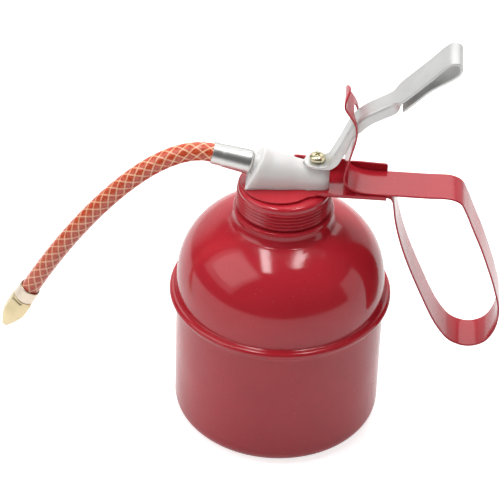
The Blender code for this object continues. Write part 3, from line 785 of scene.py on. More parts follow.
def screw_cap():
    """Cap with level ribs round its side and a hole for the pump."""
    outline = [(CAP_BORE, 107.8), (CAP_BORE + 0.15, 107.5), (CAP_ROOT, 107.5),
               (CAP_ROOT + 0.12, 107.62)]
    for i in range(RIB_POINTS):
        wave = (0.5 - 0.5 * math.cos(TAU * i / RIB_STEPS)) ** 0.65
        outline.append((CAP_ROOT + (CAP_R - CAP_ROOT) * wave, 107.85 + RIB_PITCH * i / RIB_STEPS))
    outline += arc(18.25, 117.05, 1.55, 12, 90, 12)
    outline += [(0, CAP_TOP), (0, CAP_CEILING)]
    outline += rounded([(17.0, CAP_CEILING), (CAP_BORE, CAP_CEILING), (CAP_BORE, 112.0)],
                       [0, 0.3, 0], 3, closed=False)
    ob = lathe("screw_cap_skin", outline, 192, RED)
    cut(ob, cylinder(PUMP_X, PUMP_HOLE_R, 115, 121))
    return ob


put(can_cup(), "can", "can_cup")
put(can_shoulder(), "can", "can_shoulder")
put(neck_collar(), "can", "neck_collar")
put(cap_gasket(), "gasket", "cap_gasket")
put(screw_cap(), "head", "screw_cap")

# ---------------------------------------------------------------- bracket sheet
PLATE_R, PLATE_X, PLATE_Z = 16.3, -2.3, 119.3      # round flat, middle of the sheet
TONGUE_X = 42.8
LIP_Y, BEND_R = 9.35, 0.95                         # folded lips along the tongue
FOLD_Y = LIP_Y - BEND_R
# Top edges of the lips as (X, Z), and the X stations where each lip is divided
FAR_TOP = [(1.8, 121.6), (2.3, 125.0), (3.4, 126.6), (5.0, 126.7), (12.5, 126.1), (24.2, 126.0),
           (25.2, 125.2), (26.2, 124.7), (27.4, 125.3), (30.0, 125.4), (41.9, 124.95),
           (42.5, 124.7), (42.8, 124.1)]
NEAR_TOP = [(13.6, 119.75), (14.6, 120.3), (15.8, 120.95), (42.2, 121.0), (42.8, 120.6)]
FAR_X = (spaced(1.8, 0.25, 12) + spaced(4.8, 0.76, 25) + spaced(23.6, 0.3, 16)
         + spaced(28.6, 0.7, 19) + [41.9, 42.2, 42.5, TONGUE_X])
NEAR_X = spaced(13.6, 0.25, 10) + spaced(16.2, 1.0, 26) + [42.2, 42.5, TONGUE_X]


def add_lip(bm, stations, top_edge, side):
    """Folded lip on one side of the tongue; returns the vertices of its fold line."""
    grid = []
    start = PLATE_Z + BEND_R
    for x in stations:
        top = float(np.interp(x, *zip(*top_edge)))
        column = []
        for k in range(7):
            angle = math.radians(90 * k / 6)
            z = PLATE_Z + BEND_R * (1 - math.cos(angle))
            if z > top - 0.02:
                z = top - 0.02 + 0.002 * k
            column.append((x, side * (FOLD_Y + BEND_R * math.sin(angle)), z))
        for k in range(1, 6):
            rise = (top - start) * k / 5 if top > start + 0.1 else 0.01 * k
            column.append((x, side * LIP_Y, start + rise))
        grid.append([bm.verts.new(point) for point in column])
    for row, following in zip(grid, grid[1:]):
        for k in range(len(row) - 1):
            bm.faces.new((row[k], following[k], following[k + 1], row[k + 1]))
    return [row[0] for row in grid]


def plate_edge():
    """Outline of the flat from the far lip round to the near lip, as (X, Y)."""
    notch_x = 1.1
    start = math.acos((notch_x - PLATE_X) / PLATE_R)
    end = TAU - math.asin(9.75 / PLATE_R) - 0.16
    steps = 110
    rim = []
    for i in range(steps + 1):
        x, y = polar(PLATE_R, start + (end - start) * i / steps)
        rim.append((PLATE_X + x, y))
    # relief cut beside the far lip
    points = [(1.35, FOLD_Y + 0.15), (notch_x, FOLD_Y + 0.6), (notch_x, 11.5),
              (notch_x, rim[0][1] - 0.6), (0.85, rim[0][1] - 0.1)]
    # soft run from the round edge into the straight near side
    pull = on_line(rim[-1], (-math.sin(end), math.cos(end)), 2.2)
    run_in = bezier(rim[-1], pull, (12.3, -9.72), (13.35, -9.7), 11)[1:-1]
    return points + rim[2:] + run_in + [(13.45, -9.66), (13.52, -9.2)]


def bracket_plate():
    """Sheet bracket: filled as a mid-surface, then thickened and edge-rounded."""
    bm = bmesh.new()
    far = add_lip(bm, FAR_X, FAR_TOP, 1)
    near = add_lip(bm, NEAR_X, NEAR_TOP, -1)
    loop = near + [bm.verts.new((TONGUE_X, y, PLATE_Z)) for y in (-6.0, -3.0, 0.0, 3.0, 6.0)]
    loop += reversed(far)
    loop += [bm.verts.new((x, y, PLATE_Z)) for x, y in plate_edge()]
    edges = []
    for i, start in enumerate(loop):
        pair = (start, loop[(i + 1) % len(loop)])
        edges.append(bm.edges.get(pair) or bm.edges.new(pair))
    hole = []
    for k in range(48):
        x, y = polar(PUMP_HOLE_R, TAU * k / 48)
        hole.append(bm.verts.new((PUMP_X + x, y, PLATE_Z)))
    for k in range(48):
        edges.append(bm.edges.new((hole[k], hole[(k + 1) % 48])))
    bmesh.ops.triangle_fill(bm, use_beauty=True, use_dissolve=False, edges=edges, normal=(0, 0, 1))
    bmesh.ops.recalc_face_normals(bm, faces=bm.faces[:])
    for vert in bm.verts:
        vert.co *= MM
    mesh = bpy.data.meshes.new("bracket_plate_skin")
    bm.to_mesh(mesh)
    bm.free()
    mesh.materials.append(RED)
    ob = add_object("bracket_plate_skin", mesh)
    modifier = ob.modifiers.new("sheet", "SOLIDIFY")
    modifier.thickness = SHEET * MM
    modifier.offset = 0.0
    modifier.use_even_offset = True
    bake(ob)
    round_edges(ob, width=0.16, limit=50, sharp=32)
    return ob


put(bracket_plate(), "head", "bracket_plate")

# ---------------------------------------------------------------- handle strap
STRAP_W = 17.5
LOWER_Z, UPPER_Z = 120.4, 121.5     # the two layers of strap on the bracket
# Middle line of the strap as (X, Z): out along the bracket, down and round the grip, back over
# the bracket, then up the tab
STRAP_LINE = [
    (29.5, LOWER_Z), (36.0, LOWER_Z), (43.2, LOWER_Z), (44.9, LOWER_Z - 0.7), (45.8, 118.2),
    (46.3, 115.4), (47.5, 107.9), (51.4, 93.6), (59.7, 72.7), (68.9, 53.7), (75.2, 46.4),
    (82.7, 44.3), (89.2, 46.9), (93.1, 53.5), (94.4, 64.0), (91.8, 75.5), (88.6, 85.2),
    (84.5, 96.3), (80.2, 106.4), (76.4, 115.4), (74.0, 119.6), (69.8, UPPER_Z), (60.0, UPPER_Z),
    (48.0, UPPER_Z), (36.0, UPPER_Z), (31.5, 122.1), (27.6, 123.7), (25.2, 126.2), (24.8, 129.2),
    (26.0, 135.2), (27.3, 141.4), (28.5, 146.8), (28.9, 151.2), (28.2, 155.1), (26.7, 158.2),
    (24.9, 160.8), (23.6, 162.8), (23.6, 164.8), (25.0, 167.3)]
TIP_ZONE, TIP_STEPS = 9.5, 34       # finer stations where the tip is round
START_ROUND = 2.0                   # corner radius at the start of the strap


def strap_section(half_width):
    """Flat bar with round edges as (Y, height above the middle line)."""
    half = SHEET / 2
    corner = min(0.30, half_width * 0.6)
    reach = half_width - corner
    section = []
    for side in (-1, 1):
        for k in range(7):
            y, up = polar(corner, math.radians(-90 * side + 180 * k / 6))
            middle = side * ((k > 3) - (k < 3)) * (half - corner)
            section.append((side * reach + y, middle + up))
        section += [(side * reach * (1 - k / 4), side * half) for k in range(1, 8)]
    return section


def handle_strap():
    path = [tuple(point) for point in spline(STRAP_LINE, 0.9)]
    end = []
    while math.dist(path[-1], STRAP_LINE[-1]) < TIP_ZONE:
        end.insert(0, path.pop())
    end.insert(0, path[-1])
    length = distances(end)[-1]
    path += resample(end, [length * math.sin(math.pi / 2 * i / TIP_STEPS)
                           for i in range(1, TIP_STEPS + 1)])
    run = distances(path)
    tip_r = STRAP_W / 2
    rings = []
    for (x, z), (along_x, along_z), gone in zip(path, tangents(path), run):
        half_width = tip_r
        left = run[-1] - gone
        if left < tip_r:
            half_width = math.sqrt(tip_r ** 2 - (tip_r - left) ** 2) * 0.97 + 0.26
        if gone < START_ROUND:
            rise = math.sqrt(START_ROUND ** 2 - (START_ROUND - gone) ** 2)
            half_width = min(half_width, tip_r - START_ROUND + rise)
        rings.append([(x - along_z * up, y, z + along_x * up)
                      for y, up in strap_section(half_width)])
    ob = loft("handle_strap_skin", rings, RED)
    # slot through the upright tab, drawn as (Y, Z) and cut along X
    slot = rounded([(-6.0, 147.0), (6.0, 147.0), (6.0, 158.2), (-6.0, 158.2)],
                   [1.2, 1.2, 4.0, 4.0], 8)
    along_x = Matrix(((0, 0, 1, 0), (1, 0, 0, 0), (0, 1, 0, 0), (0, 0, 0, 1)))
    cut(ob, prism(slot, 18, 34, along_x))
    return ob


put(handle_strap(), "head", "handle_strap")

# ---------------------------------------------------------------- pump body
# Stations: X, height of centre, radius, share of the outlet tilt
BODY_ROWS = [
    (-13.42, 125.8, 8.35, 2.27), (-13.40, 125.8, 8.65, 2.27), (-13.28, 125.8, 8.9, 2.27),
    (-13.0, 125.78, 9.02, 2.2), (-10.0, 125.45, 8.52, 1.75), (-7.0, 125.1, 8.02, 1.2),
    (-3.0, 124.8, 7.68, 0.75), (0.0, 124.5, 7.38, 0.45), (4.0, 123.8, 6.7, 0.2),
    (7.0, 123.45, 6.42, 0.06), (10.0, 123.2, 6.25, 0), (13.0, 123.1, 6.12, 0),
    (15.0, 123.0, 6.0, 0), (16.6, 122.95, 5.65, 0), (17.7, 122.9, 5.1, 0),
    (18.35, 122.85, 4.4, 0), (18.6, 122.8, 3.7, 0)]
BODY_SIDES = 120
BODY_FOOT_Z = 118.5             # foot of the skirts, before they are trimmed level
BODY_TRIM_Z = 120.0
SKIRT_POWER = 9                 # squareness of the lower half
SPIGOT_R = 5.8
LEVER_SLOT_R = 1.85


def pump_body():
    """Body round on top with upright skirts below, drilled for pump and outlet."""
    rings = []
    for station, centre, radius, tilt in spline(BODY_ROWS, 0.55):
        ring = []
        for k in range(BODY_SIDES):
            across, up = polar(1.0, TAU * (k + 0.5) / BODY_SIDES)
            drop = radius
            if up < 0:
                size = (abs(across) ** SKIRT_POWER + abs(up) ** SKIRT_POWER) ** (1 / SKIRT_POWER)
                across /= size
                up /= size
                drop = centre - BODY_FOOT_Z
            x = station + drop * up * math.tan(SPOUT_UP) * tilt
            ring.append((x, radius * across, centre + drop * up))
        rings.append(ring)
    ob = loft("pump_body_skin", rings, NYLON)
    cut(ob, prism([(-30, -20), (30, -20), (30, 20), (-30, 20)], 105, BODY_TRIM_Z))
    cut(ob, cylinder(PUMP_X, SPIGOT_R, 110, 120.3), "UNION")
    cut(ob, cylinder(0, 4.2, -7.0, 0.0, 72, ON_OUTLET), "UNION")
    cut(ob, cylinder(PUMP_X, BORE_R, 105, 123.5))
    slot = arc(PIVOT[0] + 0.2, 0, LEVER_SLOT_R, -90, 90, 16)
    slot += arc(9.07, 0, LEVER_SLOT_R, 90, 270, 16)
    cut(ob, prism(slot, 121, 134))
    cut(ob, cylinder(0, 1.3, -22.5, -8.0, 32, ON_OUTLET))
    cut(ob, cylinder(0, 2.4, -9.0, 3.0, 48, ON_OUTLET))
    return ob


put(pump_body(), "head", "pump_body")

# ---------------------------------------------------------------- pieces under the cap
SEAT_TOP, SEAT_R = 56.0, 1.4    # top and mouth of the foot valve seat


def union_nut():
    outline = rounded([(PUMP_HOLE_R, 103.4), (7.0, 103.4), (7.0, 117.3), (PUMP_HOLE_R, 117.3)],
                      0.15, 3)
    return lathe("union_nut_ring", outline, 96, STEEL, ON_PUMP)


def pump_barrel():
    outline = rounded([(BORE_R, 52.0), (5.4, 52.0), (5.4, 104.0), (SPIGOT_R, 104.6),
                       (SPIGOT_R, 109.7), (BORE_R, 109.7)], [0.15, 0.15, 0.3, 0.3, 0.15, 0.15], 3)
    return lathe("pump_barrel_tube", outline, 96, STEEL, ON_PUMP)


def spring_stop():
    outline = rounded([(3.45, 92.3), (4.3, 92.3), (4.3, 94.0), (3.45, 94.0)], 0.12, 3)
    return lathe("spring_stop_ring", outline, 64, STEEL, ON_PUMP)


def foot_valve_seat():
    outline = rounded([(1.0, 43.0), (1.75, 43.0), (1.75, 49.6), (5.4, 49.6), (5.4, 51.7),
                       (4.3, 51.7), (4.3, SEAT_TOP), (SEAT_R, SEAT_TOP), (1.0, 55.2)], 0.12, 3)
    return lathe("foot_valve_seat_plug", outline, 80, INNER, ON_PUMP)


def ball_outline(z, radius, steps):
    return [(0, z - radius)] + arc(0, z, radius, -84, 84, steps) + [(0, z + radius)]


def foot_valve_ball():
    """Ball held at the height at which a sphere of the seating radius rests on the mouth."""
    seating_r = 2.5
    z = SEAT_TOP + math.sqrt(seating_r ** 2 - SEAT_R ** 2)
    return lathe("foot_valve_ball_steel", ball_outline(z, 2.2, 28), 48, STEEL, ON_PUMP)


put(union_nut(), "head", "union_nut")
put(pump_barrel(), "head", "pump_barrel")
put(spring_stop(), "head", "spring_stop")
spring = coil("return_spring_wire", bottom=70.6, top=92.0, radius=3.75, wire=0.32, turns=7,
              per_turn=36, sides=10, closed=0.8, place=ON_PUMP)
put(spring, "head", "return_spring")
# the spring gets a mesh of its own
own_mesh(spring)
put(foot_valve_seat(), "head", "foot_valve_seat")
put(foot_valve_ball(), "foot_ball", "foot_valve_ball")

SUCTION_PULL, SUCTION_END = (22.0, 22.0), (27.0, 8.5)
SUCTION_LINE = [(PUMP_X, 49.2), (PUMP_X, 47.4), (PUMP_X, 45.5)]
SUCTION_LINE += bezier((PUMP_X, 42.0), (PUMP_X, 30.0), SUCTION_PULL, SUCTION_END, 40)


def suction_strainer():
    """Cup over the lower end of the suction tube, with a ring of drilled holes."""
    direction = (SUCTION_END[0] - SUCTION_PULL[0], SUCTION_END[1] - SUCTION_PULL[1])
    place = facing(SUCTION_END, direction)
    outline = rounded([(3.45, -3.6), (4.1, -3.6), (4.1, 3.2), (0.9, 3.2), (0.9, 2.5),
                       (3.45, 2.5)], 0.15, 3)
    ob = lathe("suction_strainer_cup", outline, 72, INNER, place)
    holes = 8
    for k in range(holes):
        turn = Matrix.Rotation(TAU * (k + 0.5) / holes, 4, "Z")
        outward = place @ turn @ Matrix.Rotation(math.radians(90), 4, "Y")
        cut(ob, cylinder(0.2, 0.45, 3.0, 5.0, 16, outward))
    return ob


put(tube("suction_tube_nylon", SUCTION_LINE, 2.9, 2.05, 40, NYLON), "head", "suction_tube")
put(suction_strainer(), "head", "suction_strainer")

# ---------------------------------------------------------------- plunger
# Local z is 0 at the pivot; the rod leans from the pump axis at z = 66 to the pivot.
ROD_LEAN = math.atan2(PIVOT[0] - PUMP_X, PIVOT[1] - 66.0)
ON_ROD = Matrix.Translation((PIVOT[0], 0, PIVOT[1])) @ Matrix.Rotation(ROD_LEAN, 4, "Y")
ROD_R, ROD_END = 1.5, -69.2
PISTON_BORE = 1.8
SCREW_HEAD_Z, SCREW_HEAD_R, SCREW_SHANK_R = 1.5, 3.45, 0.8


def plunger_rod():
    outline = [(0, ROD_END), (ROD_R - 0.3, ROD_END)]
    outline += rounded([(ROD_R, ROD_END + 0.3), (ROD_R, -1.5), (1.1, -1.5), (1.1, -7.5)],
                       [0, 0.2, 0.05, 0], 3, closed=False)
    outline.append((0, -7.5))
    return lathe("plunger_rod_steel", outline, 48, STEEL, ON_ROD)


def piston():
    outline = rounded([(PISTON_BORE, -64.8), (3.9, -64.8), (4.0, -64.4), (4.0, -61.0),
                       (3.7, -60.6), (PISTON_BORE, -60.6)], 0.12, 3)
    return lathe("piston_nylon", outline, 72, NYLON, ON_ROD)


def piston_cup():
    outline = rounded([(PISTON_BORE, -66.9), (3.3, -66.9), (4.1, -65.6), (4.1, -65.1),
                       (PISTON_BORE, -65.1)], [0.1, 0.3, 0.2, 0.1, 0.1], 3)
    return lathe("piston_cup_leather", outline, 72, RUBBER, ON_ROD)


def piston_nut():
    outline = [(PISTON_BORE, -68.8), (3.0, -68.8), (3.0, -67.2), (PISTON_BORE, -67.2)]
    ob = lathe("piston_nut_hex", outline, 6, STEEL, ON_ROD, sharp=20)
    round_edges(ob, width=0.12, limit=40, sharp=30)
    return ob


def lever_screw():
    """Pan-head screw with a cross recess."""
    rim_z = SCREW_HEAD_Z + 0.55
    outline = [(0, -7.0), (0.65, -7.0), (SCREW_SHANK_R, -6.8)]
    outline += rounded([(SCREW_SHANK_R, SCREW_HEAD_Z), (3.4, SCREW_HEAD_Z),
                        (SCREW_HEAD_R, rim_z)], [0, 0.15, 0], 3, closed=False)
    for k in range(1, 15):
        angle = math.radians(90 * k / 15)
        outline.append((SCREW_HEAD_R * math.cos(angle) ** 0.85,
                        rim_z + 1.65 * math.sin(angle) ** 0.9))
    outline.append((0, rim_z + 1.65))
    ob = lathe("lever_screw_pan", outline, 80, SCREW, ON_ROD)
    top, bottom = SCREW_HEAD_Z + 2.6, SCREW_HEAD_Z + 0.75
    blade = [(-1.75, top), (-0.55, bottom), (0.55, bottom), (1.75, top)]
    points = [(x, y, z) for y in (-0.36, 0.36) for x, z in blade]
    faces = [(0, 1, 2, 3), (7, 6, 5, 4), (0, 4, 5, 1), (1, 5, 6, 2), (2, 6, 7, 3), (3, 7, 4, 0)]
    for turn in (38, 128):
        place = ON_ROD @ Matrix.Rotation(math.radians(turn), 4, "Z")
        cut(ob, (moved(points, place), faces))
    return ob


put(plunger_rod(), "plunger", "plunger_rod")
put(piston(), "plunger", "piston")
put(piston_cup(), "plunger", "piston_cup")
put(piston_nut(), "plunger", "piston_nut")
put(lever_screw(), "plunger", "lever_screw")

# ---------------------------------------------------------------- lever
# Stations from the pivot end over the thumb curl: X, Z, width, depth of the side flanges
LEVER_ROWS = [
    (7.75, 131.1, 10.5, 0.95), (9.2, 131.1, 10.5, 0.95), (11.0, 131.1, 10.5, 0.95),
    (14.5, 131.1, 10.5, 0.95), (16.0, 131.25, 10.5, 1.3), (17.2, 132.1, 10.5, 2.6),
    (18.5, 134.3, 10.5, 3.6), (19.9, 137.4, 10.5, 3.7), (22.3, 142.7, 10.5, 3.7),
    (24.5, 148.2, 10.5, 3.2), (26.3, 152.0, 10.5, 4.6), (28.9, 155.5, 10.5, 4.9),
    (32.6, 158.7, 10.5, 4.9), (36.8, 161.4, 10.5, 5.0), (41.9, 164.6, 10.9, 4.8),
    (43.2, 165.5, 12.2, 3.6), (44.5, 166.6, 14.6, 1.9), (46.2, 168.2, 15.9, 1.0),
    (48.0, 170.1, 16.2, 1.0), (51.3, 173.6, 16.2, 1.0), (57.4, 180.2, 16.2, 1.0),
    (62.3, 185.8, 16.2, 1.0), (65.2, 187.9, 16.2, 1.0), (68.4, 187.5, 16.2, 1.0),
    (69.6, 185.3, 16.2, 1.0), (68.9, 182.3, 16.2, 1.0), (66.6, 180.0, 16.2, 1.0),
    (57.8, 173.5, 16.0, 1.0), (51.5, 166.8, 15.6, 1.0), (47.4, 162.4, 15.2, 1.0)]
LEVER_T = 0.9
LEVER_END_R = LEVER_ROWS[0][2] / 2      # round pivot end
LEVER_SHARP = 42


def lever_section(half, depth):
    """Channel as (Y, depth below the web's upper face)."""
    depth = max(depth, LEVER_T + 0.05)
    outer = min(1.5, max(0.32, depth * 0.42), half * 0.6)
    sheet = min(LEVER_T, half * 0.75)
    # the radii share the flange's rise, so the section never doubles back
    inner = min(max(outer - LEVER_T, 0.05), (depth - sheet) * 0.45, half * 0.3)
    tip = min(0.16, (depth - sheet) * 0.45, sheet * 0.3)
    wall = half - sheet
    outer_y, inner_y = half - outer, wall - inner
    return ([(-half + tip, depth), (-half, depth - tip)]
            + arc(-outer_y, outer, outer, 180, 270, 6)
            + [(outer_y * (k / 3 - 1), 0.0) for k in range(1, 6)]
            + arc(outer_y, outer, outer, 270, 360, 6)
            + [(half, depth - tip), (half - tip, depth),
               (wall + tip, depth), (wall, depth - tip * 0.9)]
            + arc(inner_y, sheet + inner, inner, 0, -90, 4)
            + [(inner_y * (1 - k / 3), sheet) for k in range(1, 6)]
            + arc(-inner_y, sheet + inner, inner, 270, 180, 4)
            + [(-wall, depth - tip * 0.9), (-wall - tip, depth)])


def lever():
    rows = spline(LEVER_ROWS, 0.55)
    run = distances([row[:2] for row in rows])
    stations = [LEVER_END_R * (1 - math.cos(math.pi / 2 * k / 10)) for k in range(10)]
    stations += [at for at in run if at > LEVER_END_R + 0.05]
    xs, zs, widths, depths = (np.interp(stations, run, column) for column in np.array(rows).T)
    path = list(zip(xs, zs))
    rings = []
    for at, (x, z), (along_x, along_z), width, depth in zip(stations, path, tangents(path),
                                                            widths, depths):
        half = width / 2
        if at < LEVER_END_R:
            chord = math.sqrt(LEVER_END_R ** 2 - (LEVER_END_R - at) ** 2)
            half = min(half, chord + 0.35 * (1 - at / LEVER_END_R))
        rings.append([(x + along_z * down, y, z - along_x * down)
                      for y, down in lever_section(half, depth)])
    ob = loft("lever_sheet", rings, LEVER, sharp=LEVER_SHARP)
    cut(ob, cylinder(PIVOT[0], 1.75, 128, 133.5, 40), sharp=LEVER_SHARP)
    return ob


put(lever(), "lever", "lever")

# ---------------------------------------------------------------- outlet, ferrule, hose, tip
OUTLET_SPRING_END = -1.6        # local z, just inside the outlet face


def spout_nipple():
    outline = rounded([(1.1, -1.2), (2.1, -1.2), (2.1, 0.3), (3.4, 0.3), (3.4, 2.4), (2.4, 2.4),
                       (2.4, 15.0), (2.1, 16.0), (1.1, 16.0)], 0.1, 3)
    return lathe("spout_nipple_stem", outline, 64, INNER, ON_OUTLET)


def hose_ferrule():
    outline = rounded(
        [(3.7, 0.3), (4.55, 0.3), (5.2, 0.95), (5.22, 2.4), (5.06, 6.0), (4.95, 9.5),
         (4.84, 12.2), (4.70, 13.2), (4.64, 17.4), (4.3, 17.4), (4.3, 2.7), (3.7, 2.7)],
        [0.1, 0.5, 0.7, 1.0, 2.0, 2.0, 0.8, 0.8, 0.14, 0.1, 0.2, 0.1], 5)
    return lathe("hose_ferrule_shell", outline, 128, FERRULE, ON_OUTLET)


put(lathe("outlet_ball_steel", ball_outline(-6.75, 1.75, 24), 40, STEEL, ON_OUTLET),
    "outlet_ball", "outlet_ball")
spring = coil("outlet_spring_wire", bottom=-4.7, top=OUTLET_SPRING_END, radius=1.75, wire=0.2,
              turns=3, per_turn=32, sides=8, closed=0.7, place=ON_OUTLET)
put(spring, "head", "outlet_spring")
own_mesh(spring)
put(spout_nipple(), "head", "spout_nipple")
put(hose_ferrule(), "head", "hose_ferrule")

STRAIGHT_OUT, STRAIGHT_TIP = 17.0, 6.0      # straight lengths at the two ends of the hose
PULL_OUT, PULL_TIP = 25.5, 33.7             # reach of the curve's two handles


def hose_line():
    line = [on_line(FACE, OUT_DIR, distance) for distance in (3.0, 8.0, 12.5)]
    line += bezier(on_line(FACE, OUT_DIR, STRAIGHT_OUT),
                   on_line(FACE, OUT_DIR, STRAIGHT_OUT + PULL_OUT),
                   on_line(HOSE_END, TIP_DIR, -(PULL_TIP + STRAIGHT_TIP)),
                   on_line(HOSE_END, TIP_DIR, -STRAIGHT_TIP), 40)
    line += [HOSE_END, on_line(HOSE_END, TIP_DIR, 5.5)]
    return [tuple(point) for point in spline(line, 0.4)]


def even(path, step):
    length = distances(path)[-1]
    return resample(path, np.linspace(0, length, int(length / step) + 1))


def braid(turn, run):
    """Low relief where the strands lie under the jacket, highest where two cross."""
    height = 0.0
    for hand in (1, -1):
        part = (STRANDS * (hand * turn + run / LEAD) + 100.0) % 1.0
        height += smoothstep(1 - abs(part - 0.5) / 0.16)
    return 0.055 * min(height, 1.4) - 0.05


HOSE_LINE = hose_line()
put(tube("hose_cover_braided", even(HOSE_LINE, 0.34), HOSE_R, 3.35, 96, HOSE, relief=braid),
    "head", "hose_cover")
put(tube("hose_liner_tube", even(HOSE_LINE, 1.2), 3.05, 2.7, 40, NYLON),
    "head", "hose_liner")


def tip_collar():
    outline = rounded([(4.3, 0.0), (4.6, 0.0), (4.75, 0.4), (4.75, 6.2), (4.3, 6.2)],
                      [0.08, 0.15, 0.3, 0.2, 0.08])
    return lathe("tip_collar_ring", outline, 112, COLLAR, ON_TIP)


# Outside of the tip: local z, radius over corners, share of hexagon in the section
TIP_ROWS = [(6.5, 4.55, 0.0), (6.6, 4.72, 0.0), (6.8, 4.78, 0.05), (7.3, 5.05, 0.8),
            (7.7, 5.3, 1.0), (11.5, 5.3, 1.0), (14.6, 5.3, 1.0), (15.2, 5.2, 0.92),
            (15.9, 5.0, 0.65), (16.9, 4.68, 0.3), (18.0, 4.28, 0.1), (20.6, 3.3, 0.0),
            (22.2, 2.6, 0.0), (23.6, 1.9, 0.0), (24.15, 1.68, 0.0), (24.4, 1.4, 0.0)]
# Bore of the tip from nose to hose: local z, radius
TIP_BORE = [(24.4, 0.75), (24.2, 0.6), (9.5, 0.6), (8.0, 1.6), (6.5, 1.6)]
TIP_SIDES = 120


def tip_ring(z, radius, hexagon=0.0):
    sixth = TAU / 6
    ring = []
    for k in range(TIP_SIDES):
        angle = TAU * k / TIP_SIDES
        flat = radius * math.cos(sixth / 2) / math.cos(angle % sixth - sixth / 2)
        size = hexagon * min(flat, radius * 0.975) + (1 - hexagon) * radius
        ring.append(tuple(ON_TIP @ Vector((*polar(size, angle), z))))
    return ring


def spout_tip():
    """Hexagonal brass body between a round shoulder and a drawn round nose, bored through."""
    # the zero column makes the spline measure distance along z only
    rows = spline([(z, 0.0, radius, hexagon) for z, radius, hexagon in TIP_ROWS], 0.3)
    rings = [tip_ring(z, radius, min(max(hexagon, 0.0), 1.0)) for z, _, radius, hexagon in rows]
    rings += [tip_ring(z, radius) for z, radius in TIP_BORE]
    return loft("spout_tip_brass", rings, BRASS, loop=True, sharp=22)


put(tip_collar(), "head", "tip_collar")
put(spout_tip(), "head", "spout_tip")

# ---------------------------------------------------------------- floor (stage, in metres)
FLOOR_R, FLOOR_RINGS, FLOOR_SIDES = 0.95, 12, 96


def floor_material():
    material, nodes = new_material("pale_sweep")
    cloud = nodes.noise(nodes.coordinates("Object"), scale=6.0)
    # bright to the eye, calmer as a source of bounced light
    seen, mirrored, bounced = 0.68, 0.32, 0.10
    rays = nodes.add("ShaderNodeLightPath").outputs
    glow = nodes.math("ADD", nodes.math("MULTIPLY", rays["Is Camera Ray"], seen),
                      nodes.math("MULTIPLY", rays["Is Glossy Ray"], mirrored))
    nodes.surface({
        "Base Color": nodes.mix(nodes.remap(cloud), start=(0.66, 0.66, 0.66),
                                end=(0.70, 0.70, 0.70)),
        "Roughness": 0.9,
        "Specular IOR Level": 0.1,
        "Emission Color": (1, 1, 1),
        "Emission Strength": nodes.math("ADD", glow, bounced),
    })
    return material


def floor():
    points = [(0.0, 0.0, 0.0)]
    for i in range(1, FLOOR_RINGS + 1):
        points += [(*polar(FLOOR_R * i / FLOOR_RINGS, TAU * k / FLOOR_SIDES), 0.0)
                   for k in range(FLOOR_SIDES)]
    faces = [(0, 1 + k, 1 + (k + 1) % FLOOR_SIDES) for k in range(FLOOR_SIDES)]
    for i in range(FLOOR_RINGS - 1):
        inner = 1 + i * FLOOR_SIDES
        outer = inner + FLOOR_SIDES
        for k in range(FLOOR_SIDES):
            k2 = (k + 1) % FLOOR_SIDES
            faces.append((inner + k, outer + k, outer + k2, inner + k2))
    mesh = bpy.data.meshes.new("studio_floor")
    mesh.from_pydata(points, [], faces)
    ob = add_object("studio_floor", mesh)
    ob.location = (0, 0, -0.0002)
    mesh.materials.append(floor_material())


floor()

# ---------------------------------------------------------------- lights
LIGHT_TARGET = Vector((0.0, 0.0, 0.09))
LIGHT_SPREAD = math.radians(170)
# name, azimuth and elevation (degrees; azimuth 0 is -Y, 90 is +X), distance, width, height, watts
SOFTBOXES = [
    ("left_box", -75, 40, 1.5, 1.35, 1.45, 4.6),
    ("left_core", -74, 44, 1.48, 1.0, 1.05, 3.4),
    ("right_box", 100, 8, 1.5, 1.3, 0.9, 3.0),
    ("strip_a", -81, 78.5, 1.5, 0.18, 0.95, 5.2),
    ("strip_b", 118, 76.0, 1.5, 0.18, 0.75, 4.2),
    ("back_box", 180, 42, 1.6, 1.6, 0.6, 5.0),
    ("back_fill", 180, 63, 1.5, 1.3, 0.9, 9.8),
]


def towards(azimuth, elevation):
    """Unit vector from the object towards a light, angles in degrees."""
    azimuth, elevation = math.radians(azimuth), math.radians(elevation)
    return Vector((math.sin(azimuth) * math.cos(elevation),
                   -math.cos(azimuth) * math.cos(elevation), math.sin(elevation)))


def softbox(name, azimuth, elevation, distance, width, height, power):
    light = bpy.data.lights.new(name, "AREA")
    light.shape = "RECTANGLE"
    light.size = width
    light.size_y = height
    light.energy = power
    light.spread = LIGHT_SPREAD
    ob = bpy.data.objects.new(name, light)
    outward = towards(azimuth, elevation)
    ob.location = LIGHT_TARGET + outward * distance
    ob.rotation_mode = "QUATERNION"
    # lights almost overhead keep their width along X
    side = Vector((1, 0, 0)) if elevation > 70 else Vector((0, 0, 1)).cross(outward).normalized()
    up = outward.cross(side).normalized()
    side = up.cross(outward).normalized()
    ob.rotation_quaternion = Matrix((side, up, outward)).transposed().to_quaternion()
    bpy.context.scene.collection.objects.link(ob)
    return ob


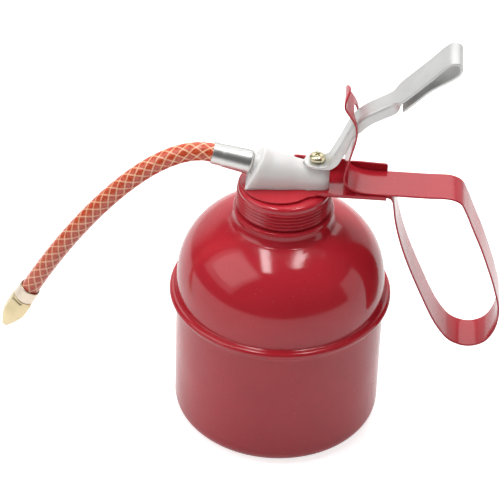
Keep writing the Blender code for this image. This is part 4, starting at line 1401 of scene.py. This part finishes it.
def head_fill():
    """Narrow soft light on the pump head only, from the near side."""
    light = bpy.data.lights.new("head_fill", "SPOT")
    light.energy = 34.0
    light.spot_size = math.radians(6.2)
    light.spot_blend = 0.75
    light.shadow_soft_size = 0.10
    ob = add_object("head_fill", light)
    outward = towards(azimuth=-10, elevation=26)
    ob.location = Vector((0.022, 0.0, 0.146)) + outward * 1.2
    ob.rotation_mode = "QUATERNION"
    ob.rotation_quaternion = (-outward).to_track_quat("-Z", "Y")
    ob.visible_glossy = False


boxes = {row[0]: softbox(*row) for row in SOFTBOXES}
# it brightens upward faces but has no mirror image
boxes["back_fill"].visible_glossy = False
head_fill()

# ---------------------------------------------------------------- world and camera


def studio_world():
    """White sweep behind the object, dim room in front, pale ground, white to the camera."""
    sweep_light, room_light, ground_light, seen_light = 0.95, 0.10, 0.55, 1.28
    world = bpy.data.worlds.new("studio")
    bpy.context.scene.world = world
    world.use_nodes = True
    world.node_tree.nodes.clear()
    nodes = Nodes(world.node_tree)
    _, y, z = nodes.split(nodes.coordinates("Generated"))
    behind = nodes.remap(y, source=(0.45, 0.80), smooth=True)
    low = nodes.remap(z, source=(0.55, 0.35), smooth=True)
    sweep = nodes.math("MULTIPLY", behind, low)
    ground = nodes.remap(z, source=(-0.02, -0.12), smooth=True)
    light = nodes.math("ADD", nodes.math("MULTIPLY", sweep, sweep_light), room_light)
    light = nodes.math("MAXIMUM", light, nodes.math("MULTIPLY", ground, ground_light))
    camera_ray = nodes.add("ShaderNodeLightPath").outputs["Is Camera Ray"]
    unseen = nodes.math("SUBTRACT", 1.0, camera_ray)
    light = nodes.plus(nodes.math("MULTIPLY", light, unseen), camera_ray, share=seen_light)
    background = nodes.add("ShaderNodeBackground", {"Strength": light})
    nodes.add("ShaderNodeOutputWorld", {0: background.outputs[0]})


def camera():
    data = bpy.data.cameras.new("camera")
    data.sensor_width = 36.0
    data.lens = 175.67352
    data.clip_start = 0.05
    data.clip_end = 20.0
    ob = add_object("camera", data)
    right = (0.99701756, 0.07210356, 0.02751485, 0)
    up = (-0.065521, 0.60244533, 0.79546629, 0)
    backward = (0.04077976, -0.79489666, 0.60537287, 0)
    position = (0.02907005, -0.83245736, 0.71585931, 1)
    ob.matrix_world = Matrix((right, up, backward, position)).transposed()
    bpy.context.scene.camera = ob


studio_world()
camera()
bpy.context.scene.view_settings.view_transform = "Standard"
bpy.context.scene.view_settings.look = "None"
